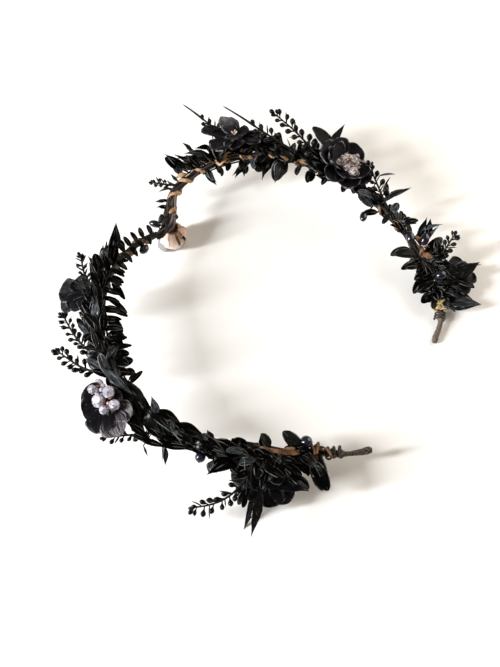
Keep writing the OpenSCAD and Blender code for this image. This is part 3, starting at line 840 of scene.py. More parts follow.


# Leaf twigs: from, to, clock and outline, then three lists of leaves.
# Those of its solid: place, turn, rise, length, width, and a tint where the leaf gets the painted
# blue-grey sheen.
# Those that stand out: place, out, up, turn, rise, length, width, tint, and an outline where it is
# not pointed.
# Those crowded in bunches: from, to, clock, spread of the clock, turn, spread of the turn, lowest and
# highest rise, shortest, longest, share of width, outline, count.
FERN_OUTER = [(-12 - 4.4 * i, 12, 18, 5.4 + 0.3 * i, 2.6) for i in range(6)]
FERN_INNER = [(-14 - 5.6 * i, 202 - i, 8, 6 + 0.5 * i, 2.4 + 0.1 * i) for i in range(14)]
TWIGS = {
    "fern_left": (-92, -9, 90, "fern", FERN_OUTER + FERN_INNER, [
        (-32, 2.7, 3, 58, 30, 15.1, 4.2, 0.72), (-28, 1.1, 2, 22, 20, 8.2, 3.5, 0.2),
        (-35, 5.3, 4, 54, 30, 6.7, 1.5, 0.3), (-47, -2.4, 1, -141, 0, 11.8, 3.4, 0.45, "fern"),
        (-57, -2.3, 1, -147, 0, 13.2, 3, 0.3, "fern"), (-62, -3, 1, -152, 0, 11.9, 3.2, 0.3, "fern"),
        (-69, -4.1, 2, -129, 0, 10.8, 5.2, 0.5, "oval"), (-35, 0.7, 0, 144, 0, 5.5, 3.1, 0.4, "fern"),
        (-41, 0.5, 0, 168, 0, 6.8, 3.3, 0.4, "fern"), (-45, 0, 0, -177, 0, 8, 3.4, 0.4, "fern"),
    ], [
        (-56, -36, 40, 50, 65, 25, 15, 50, 7, 12, 0.34, "oval", 12),
    ]),
    "leaves_left_outer": (-78, -36, 0, "pointed", [
        (-38, 78, 35, 21, 5), (-44, 81, 38, 17, 3.5), (-47, 42, 15, 14, 4.5), (-41, 52, 12, 12, 4),
        (-51, 54, 30, 13, 4.5), (-50, 80, 60, 8, 4.5), (-74, 74, 25, 12, 4), (-76, 96, 12, 14, 4.5, 0.93),
    ], [
        (-47, 2.8, 4, 55, 35, 11.2, 5.8, 0.45, "oval"), (-44, 0.3, 3, 56, 30, 11, 4.4, 0.3),
        (-55, 1, 4, 52, 30, 11.8, 3.8, 0.45), (-60, 1.8, 5, 74, 35, 8.3, 2.4, 0.9),
        (-73, 1.4, 5, 99, 20, 13.3, 4.3, 0.99), (-71, 3.6, 4, 58, 20, 12.8, 3.3, 0.5),
        (-75, 6.5, 4, 96, 20, 9.8, 1.6, 0.88), (-78, 5.2, 4, 60, 10, 8.5, 2.8, 0.95, "oval"),
        (-78, -1.2, 5, 108, 25, 12.3, 4.3, 0.1),
    ], [
        (-80, -40, 20, 60, 70, 22, 10, 45, 9, 14, 0.36, "pointed", 22),
        (-102, -66, 40, 60, 70, 30, 5, 40, 9, 14, 0.36, "oval", 20),
    ]),
    "leaves_left_inner": (-106, -74, 180, "oval", [
        (-93, 200, 15, 8, 5), (-98, 217, 10, 6.5, 5), (-105, 164, 0, 9, 2.5), (-77, 209, 5, 9, 5),
        (-83, 202, 25, 7.5, 5), (-88, 202, 15, 8, 4.5), (-85, 115, 40, 8, 3.5),
    ], [
        (-78, -3.1, 1, -151, 0, 6, 2.5, 0.3, "oval"), (-91, 0.9, 4, 155, 20, 9.2, 4, 0.8),
        (-93, -1.9, 3, -143, 10, 6.5, 5, 0.5, "oval"), (-96, 1.2, 2, -148, 5, 8.1, 5, 0.05, "oval"),
        (-104, -3.2, 2, 169, 10, 5.2, 1.7, 0.2, "oval"), (-94.5, 4.7, 6, -108, 5, 20.3, 4.8, 0.94),
        (-101, 0.7, 3, -105, -5, 17.6, 6.4, 0.1, "oval"), (-87, -0.7, 3, 77, 15, 10.2, 4.2, 0.2),
        (-86, 3.7, 5, 94, 15, 13.4, 2.8, 0.75),
    ], [
        (-96, -84, 140, 30, 190, 30, 0, 20, 5, 7, 0.5, "oval", 6),
        (-100, -60, 50, 50, 80, 45, 5, 35, 8, 11, 0.45, "oval", 18),
        (-126, -92, 10, 50, -84, 12, -8, 10, 13, 19, 0.38, "pointed", 24),
    ]),
    "leaves_lower_left": (-155, -119, 90, "pointed", [
        (-126, 132, 30, 9, 4, 0.99), (-136, 62, 35, 10, 4.5, 0.95), (-138, 27, 0, 7, 3),
        (-152, 84, 30, 9, 4, 0.92), (-153, 138, 30, 6, 3.5), (-133, -15, -15, 18, 2.5, 0.96),
        (-121, 106, 10, 20, 7), (-145, 20, 10, 8, 4),
    ], [
        (-127, 0.8, 4, 136, 25, 7, 4.1, 0.99, "oval"), (-131, 0.2, 4, -60, 5, 8.8, 5, 0.98),
        (-152, 2, 4, 90, 10, 8.1, 3.3, 0.95, "oval"), (-153, 0.8, 4, 108, 20, 5.8, 3.8, 0.98, "oval"),
        (-136, 10.2, 0, -26, -15, 8.8, 2.7, 0.84), (-128, 14.7, 0, -52, -15, 5.6, 1.1, 0.5),
        (-106, -0.2, 4, -100, -8, 19.4, 5.8, 0.15), (-125, -2.1, 3, -91, -5, 13.5, 4.7, 0.3),
        (-136, -1.4, 3, -92, -5, 14.2, 4.7, 0.1), (-111, 3, 4, -92, -8, 16.5, 6, 0.4),
        (-123, 6.1, 3, -84, -8, 14.3, 5.1, 0.2), (-129, 7.8, 2, -89, -8, 14.3, 4.6, 0.35),
        (-136, 7.1, 2, -93, -8, 15, 4.7, 0.1), (-119, 10.6, 3, -91, -8, 13.8, 3.7, 0.5),
        (-111, 7.7, 3, -84, -10, 18, 3.6, 0.2), (-124, 1.1, 5, -81, 0, 13.7, 4.1, 0.5),
        (-136, 3.3, 5, -85, 0, 12.9, 3.7, 0.45), (-147, 2.5, 4, -84, -3, 13.1, 4.2, 0.2),
        (-126, 13.9, 2, -107, -3, 13.6, 3.3, 0.3), (-134, 11.5, 2, -110, -3, 16.5, 3.1, 0.2),
        (-123, 14.2, 2, -108, -3, 8.5, 2.8, 0.5, "oval"),
    ], [
        (-160, -108, 5, 55, -84, 10, -6, 8, 14, 20, 0.36, "pointed", 32),
        (-158, -118, 20, 50, -80, 20, 0, 15, 9, 13, 0.42, "oval", 16),
    ]),
    "leaves_end_left": (-201, -158, 90, "oval", [
        (-200, -10, -12, 19, 8, 0.8), (-169, 110, 20, 7, 4), (-179, 145, 25, 8, 4.5),
        (-194, 133, 25, 13, 6.5), (-165, 46, -10, 18, 6.5), (-162, 28, -25, 12, 4),
    ], [
        (-169, 4, 5, 86, 15, 9.4, 3.8, 0.92, "oval"), (-174, 6.9, 5, 71, 10, 8.9, 3.8, 0.86, "oval"),
        (-167, 5.2, 3, 59, 5, 18.6, 6.6, 0.05), (-155, 8, 0, 10, -15, 6.9, 4.2, 0.9),
        (-166, 0.7, 2, 127, 20, 5.2, 3.3, 0.1, "oval"), (-177, -0.4, 2, 155, 25, 5.5, 4.2, 0.1),
        (-193, -1.4, 3, 134, 20, 9.9, 5.3, 0.66, "oval"), (-189, 12.2, 3, -52, 0, 10.4, 5.2, 0.3, "oval"),
        (-199, 4.6, 3, -23, -5, 16.2, 7.1, 0.35, "oval"), (-177, 19.1, 2, 11, -12, 22.5, 4.8, 0.6),
        (-177, 9.9, 6, -63, 0, 11.4, 4.2, 0.3, "oval"), (-183, 5.4, 6, -78, 5, 11.3, 3.8, 0.5),
        (-172, 12.1, 5, 60, 0, 10.2, 3.7, 0.3), (-179, 11.2, 5, 14, -5, 9.6, 4.1, 0.2, "oval"),
        (-186, 7.6, 5, -57, -3, 9.9, 4.3, 0.15, "oval"), (-165, 4.6, 4, 74, 3, 10.3, 3.8, 0.35),
        (-172, 19.2, 0, 36, -5, 9.4, 4.1, 0.3, "oval"), (-170, 22.2, 0, 10, -8, 6.4, 2.7, 0.3, "oval"),
    ], [
        (-196, -160, -20, 50, 0, 50, -15, 20, 9, 14, 0.45, "oval", 26),
        (-198, -158, 40, 50, -64, 30, 0, 15, 9, 13, 0.4, "pointed", 20),
    ]),
    "leaves_front_right": (10, 46, 0, "pointed", [
        (42, -17, 20, 16, 3), (40, -33, 10, 15, 2.5), (45, -46, 35, 14, 2.5), (34, -22, 25, 16, 4.5),
        (31, -3, 0, 10, 3.5, 0.88), (22, -37, -20, 9, 2), (15, -10, -10, 7, 2), (11, 7, 0, 5, 2),
    ], [
        (41, 10.2, 3, -29, 25, 7.8, 2.3, 0.8), (47, 5, 3, -78, 15, 13.6, 3.7, 0.86),
        (43, 3.1, 3, -67, 15, 14.3, 3.1, 0.5), (39, 2.2, 2, -26, 10, 8.2, 2.3, 0.8),
        (49, 7.4, 4, -87, 25, 9.9, 3.1, 0.2), (30, 8.2, 2, 3, 20, 8.2, 4.4, 0.3, "oval"),
        (36, 1.8, 2, -38, 5, 8.7, 4.2, 0.1, "oval"), (50, -2.8, 4, 19, 40, 11.3, 7.8, 0.05, "round"),
        (42, -1, 0, 163, -5, 9.6, 3, 0.93), (48, -0.6, 0, 158, -5, 5.8, 2.8, 0.3, "oval"),
        (56, 2, 4, 65, 40, 7.2, 5.2, 0.6, "oval"), (51, 14.1, 6, -30, 25, 6.9, 4.5, 0.2),
        (55, 9.8, 7, -71, 25, 7.4, 5, 0.1),
    ], [
        (38, 62, 40, 70, -50, 30, 5, 35, 7, 12, 0.34, "pointed", 20),
        (48, 76, 30, 45, 10, 60, 15, 60, 8, 12, 0.62, "oval", 26),
        (10, 34, 0, 60, -20, 40, -5, 30, 4, 7, 0.3, "pointed", 6),
    ]),
    "leaves_top_inner": (40, 88, 180, "pointed", [
        (41, 158, -15, 9, 3), (48, 156, -20, 5, 3), (67, 227, -10, 13, 4.5), (63, 190, -10, 9, 3.5),
        (72, 168, 10, 11, 7), (79, 194, -5, 13, 3.5), (86, 180, 5, 14, 7.5, 0.84),
    ], [
        (68, -3.4, 0, -121, -10, 13.3, 4, 0.1), (64, -5.7, 0, -167, -10, 4.8, 3.1, 0.4, "oval"),
        (77, -1.3, 1, -151, -5, 10.8, 8.2, 0.6, "oval"), (82, -1.9, 1, -158, -10, 12.2, 4.4, 0.05),
        (85, -2.6, 1, -178, -5, 12.9, 7.4, 0.62, "oval"), (105, 0.5, 0, -149, -5, 6.2, 3.4, 0.4, "oval"),
        (112, 1.9, 0, -133, -10, 7.2, 5.4, 0.2, "oval"), (94, 1.3, 3, -151, 10, 10.2, 3.9, 0.3),
        (101, 1.5, 3, -116, 15, 10.4, 3.1, 0.3), (102, 4.6, 4, -107, 20, 11.3, 3.1, 0.6),
        (122, -1, 0, 169, -10, 4.6, 3.1, 0.2, "oval"), (128, 1.6, 0, 178, -10, 4.4, 3.7, 0.1, "oval"),
        (63, -1.4, 6, 62, 25, 14.1, 5.1, 0.1), (102, 7.3, 5, -59, 20, 5.6, 4.5, 0.2, "oval"),
        (106, 3.8, 5, -85, 20, 7.1, 5.4, 0.1, "oval"),
    ], [
        (54, 84, 60, 70, -30, 70, 10, 50, 8, 12, 0.5, "oval", 28),
        (76, 118, 60, 90, -84, 20, 0, 25, 9, 14, 0.32, "pointed", 44),
        (80, 116, 40, 60, -40, 60, 10, 50, 7, 10, 0.5, "oval", 18),
        (42, 114, 180, 30, 190, 35, -10, 5, 5, 8, 0.5, "oval", 12),
    ]),
    "leaves_right_mid": (117, 160, 90, "oval", [
        (119, 131, -5, 7, 4.5), (126, 129, 0, 6, 4.5), (141, 240, 40, 13, 4.5, 0.94),
        (151, 172, -10, 7, 3), (144, 34, 35, 19, 3), (158, 50, 20, 10, 3.5),
    ], [
        (131, -1.6, 1, 108, 5, 10.8, 5.1, 0.87, "oval"), (136, 9.9, 8, 62, 25, 8.6, 1.3, 0.97, "needle"),
        (141, 6.7, 5, -6, 35, 7.5, 0.9, 0.9, "needle"), (144, 4.8, 3, 41, 25, 14, 3.4, 0.92),
        (144, 5.4, 3, -39, 30, 7.2, 3.1, 0.7, "oval"), (152, 0.6, 3, 0, 25, 6.5, 4.3, 0.9, "oval"),
        (158, 2.3, 2, 68, 10, 8.6, 4.8, 0.4), (146, -3.1, 1, -135, 0, 8.3, 3.6, 0.1, "oval"),
    ], [
        (122, 168, 90, 90, -70, 40, 0, 35, 6, 10, 0.42, "oval", 34),
        (104, 128, 120, 70, -80, 40, 0, 25, 8, 11, 0.4, "pointed", 16),
    ]),
    "leaves_right_inner": (172, 203, 180, "oval", [
        (174, 200, 0, 12, 5.5), (181, 177, 5, 11, 4), (192, 151, 0, 12, 5.5), (201, 148, 5, 9, 5),
        (197, 165, -5, 7, 4),
    ], [
        (180, -3.6, 3, -146, 10, 12.4, 6.4, 0.72, "oval"), (185, -4.9, 2, -160, 5, 7.4, 4.6, 0.5, "oval"),
        (192, -1.6, 3, 175, 5, 9.3, 5.4, 0.4, "oval"), (196, -0.7, 3, 160, 0, 11.6, 5.3, 0.5, "oval"),
        (201, -0.8, 2, 144, 0, 8.9, 4.1, 0.3, "oval"),
    ], [
        (180, 200, 160, 45, 185, 30, -5, 15, 5, 8, 0.5, "oval", 10),
    ]),
    "leaves_right_outer": (168, 211, 0, "pointed", [
        (171, -23, 35, 13, 4), (176, -12, 40, 15, 2.5, 0.95), (182, -30, 20, 12, 3),
        (210, -5, 8, 18, 6.5, 0.84), (199, 40, -4, 17, 5),
    ], [
        (174, 6.7, 3, -48, 35, 10.4, 4.1, 0.2), (169, 6.2, 3, 39, 30, 12.5, 2.4, 0.95),
        (185, 6.5, 3, -72, 40, 8.4, 4.2, 0.45, "oval"), (195, 6, 4, 3, 10, 18.6, 3.3, 0.6),
        (197, 8.3, 2, 45, 5, 12.9, 4.7, 0.3, "oval"), (201, 6.3, 2, 55, 0, 8.3, 4.5, 0.2, "oval"),
        (203, 3.1, 2, 72, 0, 5.2, 3.3, 0.1, "oval"), (209, 3.6, 2, 1, 5, 17.1, 7.4, 0.86),
    ], [
        (178, 207, 40, 65, 10, 50, 0, 35, 8, 13, 0.42, "oval", 24),
        (182, 206, 90, 60, 60, 80, 10, 40, 7, 10, 0.5, "oval", 14),
    ]),
}
STEM_STEP = 1.6
STALK_R = 0.28
LONG_LEAF = 16
WIDE_LEAF = 4
# Share of crowded leaves that get the painted blue-grey sheen, and the tints with and without it
SHEEN_SHARE = 0.07
SHEEN_TINTS = (0.82, 0.97)
DULL = (0.0, 0.78)
LOWEST_TIP = 1.5
RISE_STEP = 10


def crowd(shape, rng, start, end, clock, around, turn, fan, low, high, short, long, share, profile,
          count):
    """Leaves set at random over one stretch of the band, none of them reaching into the table."""
    for i in range(count):
        s = start + (end - start) * (i + rng.random()) / count
        root = beside(s, clock + rng.uniform(-around, around), rng.uniform(BAND_R, STEM_OFF))
        aim_turn = turn + rng.uniform(-fan, fan)
        rise = rng.uniform(low, high)
        length = rng.uniform(short, long)
        d = heading(s, aim_turn, rise)
        while (root + length * d)[2] < LOWEST_TIP:
            rise += RISE_STEP
            d = heading(s, aim_turn, rise)
        # A few leaves get a tint high enough for the painted blue-grey sheen.
        tint = rng.uniform(*(SHEEN_TINTS if rng.random() < SHEEN_SHARE else DULL))
        leaf(shape, root, d, length, length * share * rng.uniform(0.8, 1.2), profile,
             rng.uniform(0, 0.14), rng.uniform(-40, 40), tint, 0, rng.uniform(0.1, 0.4),
             rng.uniform(-0.08, 0.16), rng.uniform(-0.12, 0.12))


def make_twig(name, start, end, clock, profile, rows, leaves, bunches):
    """A stem beside the band with its leaves, the leaves that stand out and the crowded ones."""
    rng = random.Random(name)
    shape = Shape()
    places = np.linspace(start, end, max(12, int((end - start) / STEM_STEP)))
    tube(shape, [beside(s, clock, STEM_OFF) for s in places], STEM_R, 6, 0.4, 1)
    for i, (s, turn, rise, length, width, *sheen_tint) in enumerate(rows):
        drawn = rng.uniform(0.1, 0.78)
        tint = sheen_tint[0] if sheen_tint else drawn
        narrow = profile != "fern" and length >= LONG_LEAF and width <= WIDE_LEAF
        outline = "pointed" if narrow else profile
        leaf(shape, beside(s, clock, STEM_OFF), heading(s, turn, rise), length, width,
             outline, 0.08, vary(i + 1, 18), tint, 0, 0.22, rng.uniform(-0.03, 0.08),
             rng.uniform(-0.05, 0.05))
    for i, (s, out, up, turn, rise, length, width, tint, *other) in enumerate(leaves):
        outline = other[0] if other else "pointed"
        foot, root = band_at(s), off_band(s, out, up)
        d = heading(s, turn, rise)
        if math.hypot(out, up) > STEM_OFF:
            tube(shape, [foot, (foot + root) / 2 - 1.2 * UP, root, root + d], STALK_R, 6, 0.4, 1)
        leaf(shape, root, d, length, width, outline, 0.07, vary(i + 3, 14), tint, 0, 0.25,
             rng.uniform(-0.02, 0.08), rng.uniform(-0.05, 0.05))
    for row in bunches:
        crowd(shape, rng, *row)
    place_piece(shape, name + "_foliage", [LEAF, STEM], [name])


# Bud sprigs: name, place, clock, turn, rise, reach, bow, buds, bud length, needles, bare share
SPRIGS = [
    ("sprig_front", 24, 40, -33, 8, 15, 0.5, 7, 3.3, 6, 0),
    ("sprig_top_a", 66, 10, -50, 21, 44, 0, 13, 4.4, 9, 0.3),
    ("sprig_top_b", 98, 50, -88, 24, 55, 0, 15, 5, 9, 0.36),
    ("sprig_top_c", 112, 60, -78, 25, 46, -1, 15, 5.6, 10, 0),
    ("sprig_right", 151, 60, -71, 30, 31, 1, 9, 5, 6, 0),
    ("sprig_right_end", 188, 60, -24, 40, 24, 0, 9, 5, 7, 0),
    ("sprig_left_a", -61, 60, 64, 28, 27, 1, 9, 3.8, 14, 0),
    ("sprig_left_b", -91, 40, 71, 10, 35, 2.5, 15, 4.5, 12, 0),
    ("sprig_left_c", -97, 0, 54, 0, 33, 2, 13, 5, 8, 0),
    ("sprig_lower_left", -133, -30, 55, 0, 33, 1, 11, 4.5, 7, 0),
    ("sprig_end_left", -174, 0, 47, -8, 44, 6.8, 15, 5.6, 9, 0),
]
KNOBS = 4
STEM_RINGS = 26
SPIKE_RINGS = 12


def make_sprig(name, s, clock, turn, rise, reach, bow, buds, bud_length, needles, bare):
    """A thin stem with buds in turn on its two sides, then knobs at its end or a bare spike."""
    rng = random.Random(name)
    shape = Shape()
    d = heading(s, turn, rise)
    root = beside(s, clock, ROOT_OFF)
    length = reach - bud_length
    side = side_of(d)

    def stem_at(u):
        wave = 0.25 * math.sin(9 * u + s)
        return root + length * u * d + (bow * 4 * u * (1 - u) + wave * u) * side

    path = [stem_at(u) for u in np.linspace(0, 1, STEM_RINGS)]
    tube(shape, path, np.linspace(SPRIG_R * 1.2, 0.4, STEM_RINGS), 7, 0.4, 1)
    for i in range(buds):
        u = 0.28 + 0.7 * i / (buds - 1)
        way = 1 if i % 2 == 0 else -1
        spread = 8 if i == buds - 1 else 46 + vary(i, 14)
        size = (1.2 - 0.35 * u) * rng.uniform(0.85, 1.15)
        if u <= 1 - bare:
            aim = unit(turned(spread, d, way * side + 0.35 * vary(i, 1) * UP))
            bud(shape, stem_at(u), aim, bud_length * size, BUD_R * bud_length / 5 * size, rng.random())
    if bare > 0:
        spike = [stem_at(u) for u in np.linspace(1 - bare, 1, SPIKE_RINGS)]
        radii = [*np.linspace(0.72, 0.34, SPIKE_RINGS), 0.1]
        tube(shape, spike + [stem_at(1) + 1.5 * d], radii, 7, 0.9, 1)
    for i in range(KNOBS if bare == 0 else 0):
        aim = unit(d + 0.75 * turned(360 * i / KNOBS + 20, side, np.cross(d, side)))
        bud(shape, stem_at(0.96), aim, bud_length * 0.8, BUD_R * bud_length / 9, rng.random())
    for i in range(needles):
        u = 0.2 + (0.75 - bare) * (i + rng.random() * 0.6) / needles
        way = 1 if i % 2 else -1
        spread = rng.uniform(38, 62)
        aim = unit(turned(spread, d, way * side + rng.uniform(-0.1, 0.8) * UP))
        # Needles with a high tint get the leaf's painted blue-grey sheen.
        leaf(shape, stem_at(u), aim, bud_length * rng.uniform(0.8, 1.3), rng.uniform(0.6, 1.0),
             "needle", 0.05, rng.uniform(-30, 30), rng.uniform(0.2, 0.86), 2, 0.1, 0.05)
    place_piece(shape, name + "_buds", [BUD, STEM, LEAF], [name])


# Flowers: place, out, up, turn, rise, petals, bend, cup, clock of the stalk
# Petals: angle about the face from ahead towards outward, opening, length, width, tint
FLOWERS = {
    "flower_left": (-107.6, 12, 3, 0, 75, [
        (72, 78, 11, 13, 0.4), (13, 78, 12, 12, 0.25), (138, 76, 15, 14, 0.42),
        (172, 78, 19, 14, 0.9), (204, 80, 16, 12, 1.0), (254, 76, 10, 10, 0.5)], 0.1, 0.1, 0),
    "flower_right": (117, 8, 5, 90, 80, [
        (197, 68, 16, 14, 0.3), (151, 66, 13, 12, 0.3), (69, 70, 11, 12, 0.35),
        (297, 75, 20, 14, 0.25), (264, 74, 19, 12, 0.45), (172, 71, 25, 7.5, 0.3),
        (125, 80, 20, 4, 0.3), (338, 80, 18, 12, 0.35)], 0.1, 0.1, 40),
    "flower_top": (61, 7.5, 8, 0, 70, [
        (107, 74, 15, 8, 0.98), (90, 74, 13, 8, 0.9), (161, 78, 18, 9, 0.55),
        (326, 88, 15, 13, 0.3), (218, 84, 17, 11, 0.25), (256, 88, 12, 11, 0.35)], 0.08, 0.1, 60),
    "flower_end_left": (-178, 10.4, -8, 0, 90, [
        (357, 88, 16, 13, 0.62), (112, 104, 15, 13, 0.3), (142, 100, 17, 12, 0.35),
        (166, 96, 22, 9, 0.4), (69, 115.5, 28, 5.4, 0.25), (58, 110, 14, 9, 0.35),
        (34, 102, 15, 12, 0.4)], 0, 0.1, -40),
    "flower_end_right": (198, 6.8, 2, 0, 75, [
        (101, 82, 15, 14, 0.5), (108, 72, 20, 8, 0.3), (55, 82, 12, 11, 0.4),
        (15, 85, 11, 10, 0.4), (132, 80, 15, 12, 0.5)], 0, 0.12, 40),
    "petals_left": (-56, 7, 2, 0, 75, [
        (90, 84, 15, 13, 0.4), (120, 96, 16, 10, 0.36), (49, 78, 10, 11, 0.28),
        (143, 84, 12, 12, 0.3)], 0, 0.12, 40),
}
# Second petals over the wide ones: their share of the length and width, and how much more upright
SECOND = (0.55, 0.62, 14)
# The same for the flower whose second petals are large
LARGE_SECOND = {"flower_right": (0.82, 1.05, 8)}
SECOND_TURN = 31
# Flowers without second petals, and single petals without one: flower, angle
BARE_FLOWERS = {"petals_left", "flower_left"}
BARE_PETALS = {("flower_right", 69), ("flower_right", 338)}
# Petals with a blunt end: flower, angle
BLUNT = {("flower_right", 172), ("flower_top", 107), ("flower_top", 90)}
# The petal that starts behind its flower: its root's shift ahead and outward, its angle and length
THORN = ("flower_right", 125)
THORN_SEAT = (-11, 1.5, 85, 17)
PALE_STAMENS = "flower_top"
STAMENS = 7


def make_flower(name, s, out, up, turn, rise, petals, bend, cup, clock):
    """A flower on a short stalk: first and second petals round a heart with stamens."""
    rng = random.Random(name)
    shape = Shape()
    face = heading(s, turn, rise)
    e1, e2 = face_axes(s, face)
    heart = off_band(s, out, up)
    foot = beside(s, clock, ROOT_OFF)
    stalk = [between(foot, heart, k / 8) for k in range(9)]
    tube(shape, stalk, np.linspace(SPRIG_R, 1, 9), 8, 0.4, 1)
    ball(shape, heart, face, 2.8, 2 * HEART_R, 0.2, 0, 16, 10)

    def one(angle, opening, length, width, tint, level):
        profile = "pointed" if width < length / 2 else "round"
        if (name, angle) in BLUNT:
            profile = "oval"
        root = heart + level * face
        if (name, angle) == THORN:
            back, aside, angle, length = THORN_SEAT
            root = root + back * e1 + aside * e2
        spread = turned(angle, e1, e2)
        upper = unit(face * sind(opening) - spread * cosd(opening))
        petal(shape, root, unit(turned(opening, face, spread)), upper, length, width, bend, cup, tint,
              rng, profile)

    for angle, opening, length, width, tint in petals:
        one(angle, opening, length, width, tint, 0)
    long, wide, more = LARGE_SECOND.get(name, SECOND)
    for angle, opening, length, width, tint in petals:
        if width > length / 2 and name not in BARE_FLOWERS and (name, angle) not in BARE_PETALS:
            one(angle + SECOND_TURN, opening - more, length * long, width * wide, tint * 0.8, 0.5)
    for i in range(STAMENS):
        aim = unit(face + 0.5 * turned(i * 360 / STAMENS + 11, e1, e2))
        bud(shape, heart + 0.5 * face, aim, 3.2 + vary(i, 0.5), 0.35, 0.6, 2)
    stamens = ROSE if name == PALE_STAMENS else BUD
    place_piece(shape, name + "_petals", [PETAL, STEM, stamens], [name])


# Girth of the rosebud: share of its height, share of its radius
ROSE_GIRTH = [(0, 0.34), (0.08, 0.55), (0.25, 0.86), (0.46, 1), (0.7, 0.92), (0.88, 0.62),
              (0.97, 0.3), (1, 0.12)]
# Petals of the rosebud: angle about it, share of its height at the rim, size, how pale it is
ROSE_PETALS = [
    (20, 0.02, 1.06, 0.95), (160, 0.1, 1.03, 0.35), (265, 0.0, 1.02, 0.9), (95, 0.2, 0.98, 0.5),
    (325, 0.06, 0.96, 1.0), (215, 0.2, 0.94, 0.2), (50, 0.12, 0.91, 0.8), (180, 0.05, 0.88, 0.3),
]
# Folds of the rosebud: angle, share of its height from and to, half width, finish; the second, near
# black, is painted shade in the slit between two petals
ROSE_FOLDS = [(68, 0.93, 0.42, 0.95, 1), (100, 0.76, 0.48, 0.9, 2)]
FOLD_SWELL = np.array([0.5, 0.8, 1, 1, 0.95, 0.85, 0.7, 0.5, 0.2])
# Its loose petals: angle, root's share of the radius and of the height, lean, length, width, bend,
# tint, finish
ROSE_LOOSE = [(306, 0.62, 0.84, 0.42, 10.5, 9, -0.08, 1.0, 0),
              (338, 0.6, 0.62, 0.72, 9, 9, -0.06, 1.8, 3)]
# Cup of the rosebud: height over its top, radius, from the foot over the lip into the hollow
ROSE_CUP = [(-1.6, 2.2), (-0.6, 3.0), (0.6, 3.4), (1.6, 3.5), (1.8, 3.2), (1.2, 2.6), (0.2, 1.6)]
ROSE_TOP = 0.965
ROSE_THICK = 0.35
CORE_SIDES = 28
CUP_SIDES = 20
SEPALS = 5


def rose_petal(base, k, middle, low, grow):
    """Rings of one petal that clasps the rosebud, from its top down to its rippled rim."""
    v = np.linspace(-1, 1, 19)
    rings = []
    for row in np.linspace(0, 1, 17):
        h = between(ROSE_TOP, low, row)
        r = ROSE_R * smooth(ROSE_GIRTH, np.array([h]))[0] * grow
        reach = 0.45 + 0.55 * math.sin(math.pi * min(1, row * 0.9 + 0.2))
        around = np.radians(middle + (72 - 3 * k) * v * reach)
        lip = 1 + 0.1 * row ** 5 + 0.14 * np.maximum(v, 0) ** 4 - 0.07 * np.maximum(-v, 0)
        lip = lip + 0.022 * np.sin(8 * v + 5 * row + 2 * k) + 0.012 * np.sin(21 * v + 3 * row)
        out = np.cos(around)[:, None] * RIGHTWARD + np.sin(around)[:, None] * BACKWARD
        drop = 0.06 * ROSE_H * v * v * row + 0.012 * ROSE_H * np.sin(9 * v + k) * row
        rise = base + (ROSE_H * h + drop)[:, None] * UP
        faces = [rise + (r * lip - inset)[:, None] * out for inset in (0, ROSE_THICK)]
        rings.append(np.concatenate([faces[0], faces[1][::-1]]))
    return rings


def make_rosebud():
    """Overlapping cream petals with browned edges, hung from a dried hollow cup."""
    shape = Shape()
    base = off_band(2, -1, 0) * (1, 1, 0)
    heights = np.linspace(0.012, 0.985, 16)
    widths = 0.82 * ROSE_R * smooth(ROSE_GIRTH, heights)
    ring = circle(CORE_SIDES, RIGHTWARD, BACKWARD)
    shape.skin([base + r * ring + ROSE_H * h * UP for h, r in zip(heights, widths)], 0.1)
    for k, (middle, low, grow, pale) in enumerate(ROSE_PETALS):
        shape.skin(rose_petal(base, k, middle, low, grow), pale)
    top = base + (ROSE_H - 0.6) * UP
    angles = TAU * np.arange(CUP_SIDES) / CUP_SIDES
    ragged = (1 + 0.08 * np.sin(5 * angles) + 0.05 * np.sin(9 * angles + 1))[:, None]
    ring = circle(CUP_SIDES, RIGHTWARD, BACKWARD) + 0.12 * np.sin(4 * angles)[:, None] * UP
    shape.skin([top + r * ragged * ring + level * UP for level, r in ROSE_CUP], 0.5, 1)
    for k in range(SEPALS):
        d = 0.86 * turned(k * 360 / SEPALS, RIGHTWARD, BACKWARD) - 0.5 * UP
        leaf(shape, top, d, 8.2, 3.6, "pointed", -0.1, 0, 0.5, 1, 0.1, 0.1)
    # The fold with the stem finish is painted shade: a dark slit between petals.
    for angle, high, low, widest, part in ROSE_FOLDS:
        spread = turned(angle, RIGHTWARD, BACKWARD)
        shares = np.linspace(high, low, len(FOLD_SWELL))
        reach = 1.03 * ROSE_R * smooth(ROSE_GIRTH, shares)
        path = [base + r * spread + ROSE_H * h * UP for h, r in zip(shares, reach)]
        tube(shape, path, widest * FOLD_SWELL, 8, 0.3, part)
    for angle, wide, high, lean, length, width, bend, tint, part in ROSE_LOOSE:
        spread = turned(angle, RIGHTWARD, BACKWARD)
        root = base + wide * ROSE_R * spread + high * ROSE_H * UP
        petal(shape, root, unit(lean * spread - UP), unit(spread + lean * UP), length, width, bend,
              -0.12, tint, random.Random("rosebud"), "round", part)
    neck = off_band(1.5, 0, -BAND_R - 0.1)
    tube(shape, [top - UP, between(top, neck, 0.5), neck], [1.9, 1.2, 0.8], 10, 0.5, 1)
    place_piece(shape, "rosebud_petals", [ROSE, CALYX, STEM, PETAL], ["rosebud"])


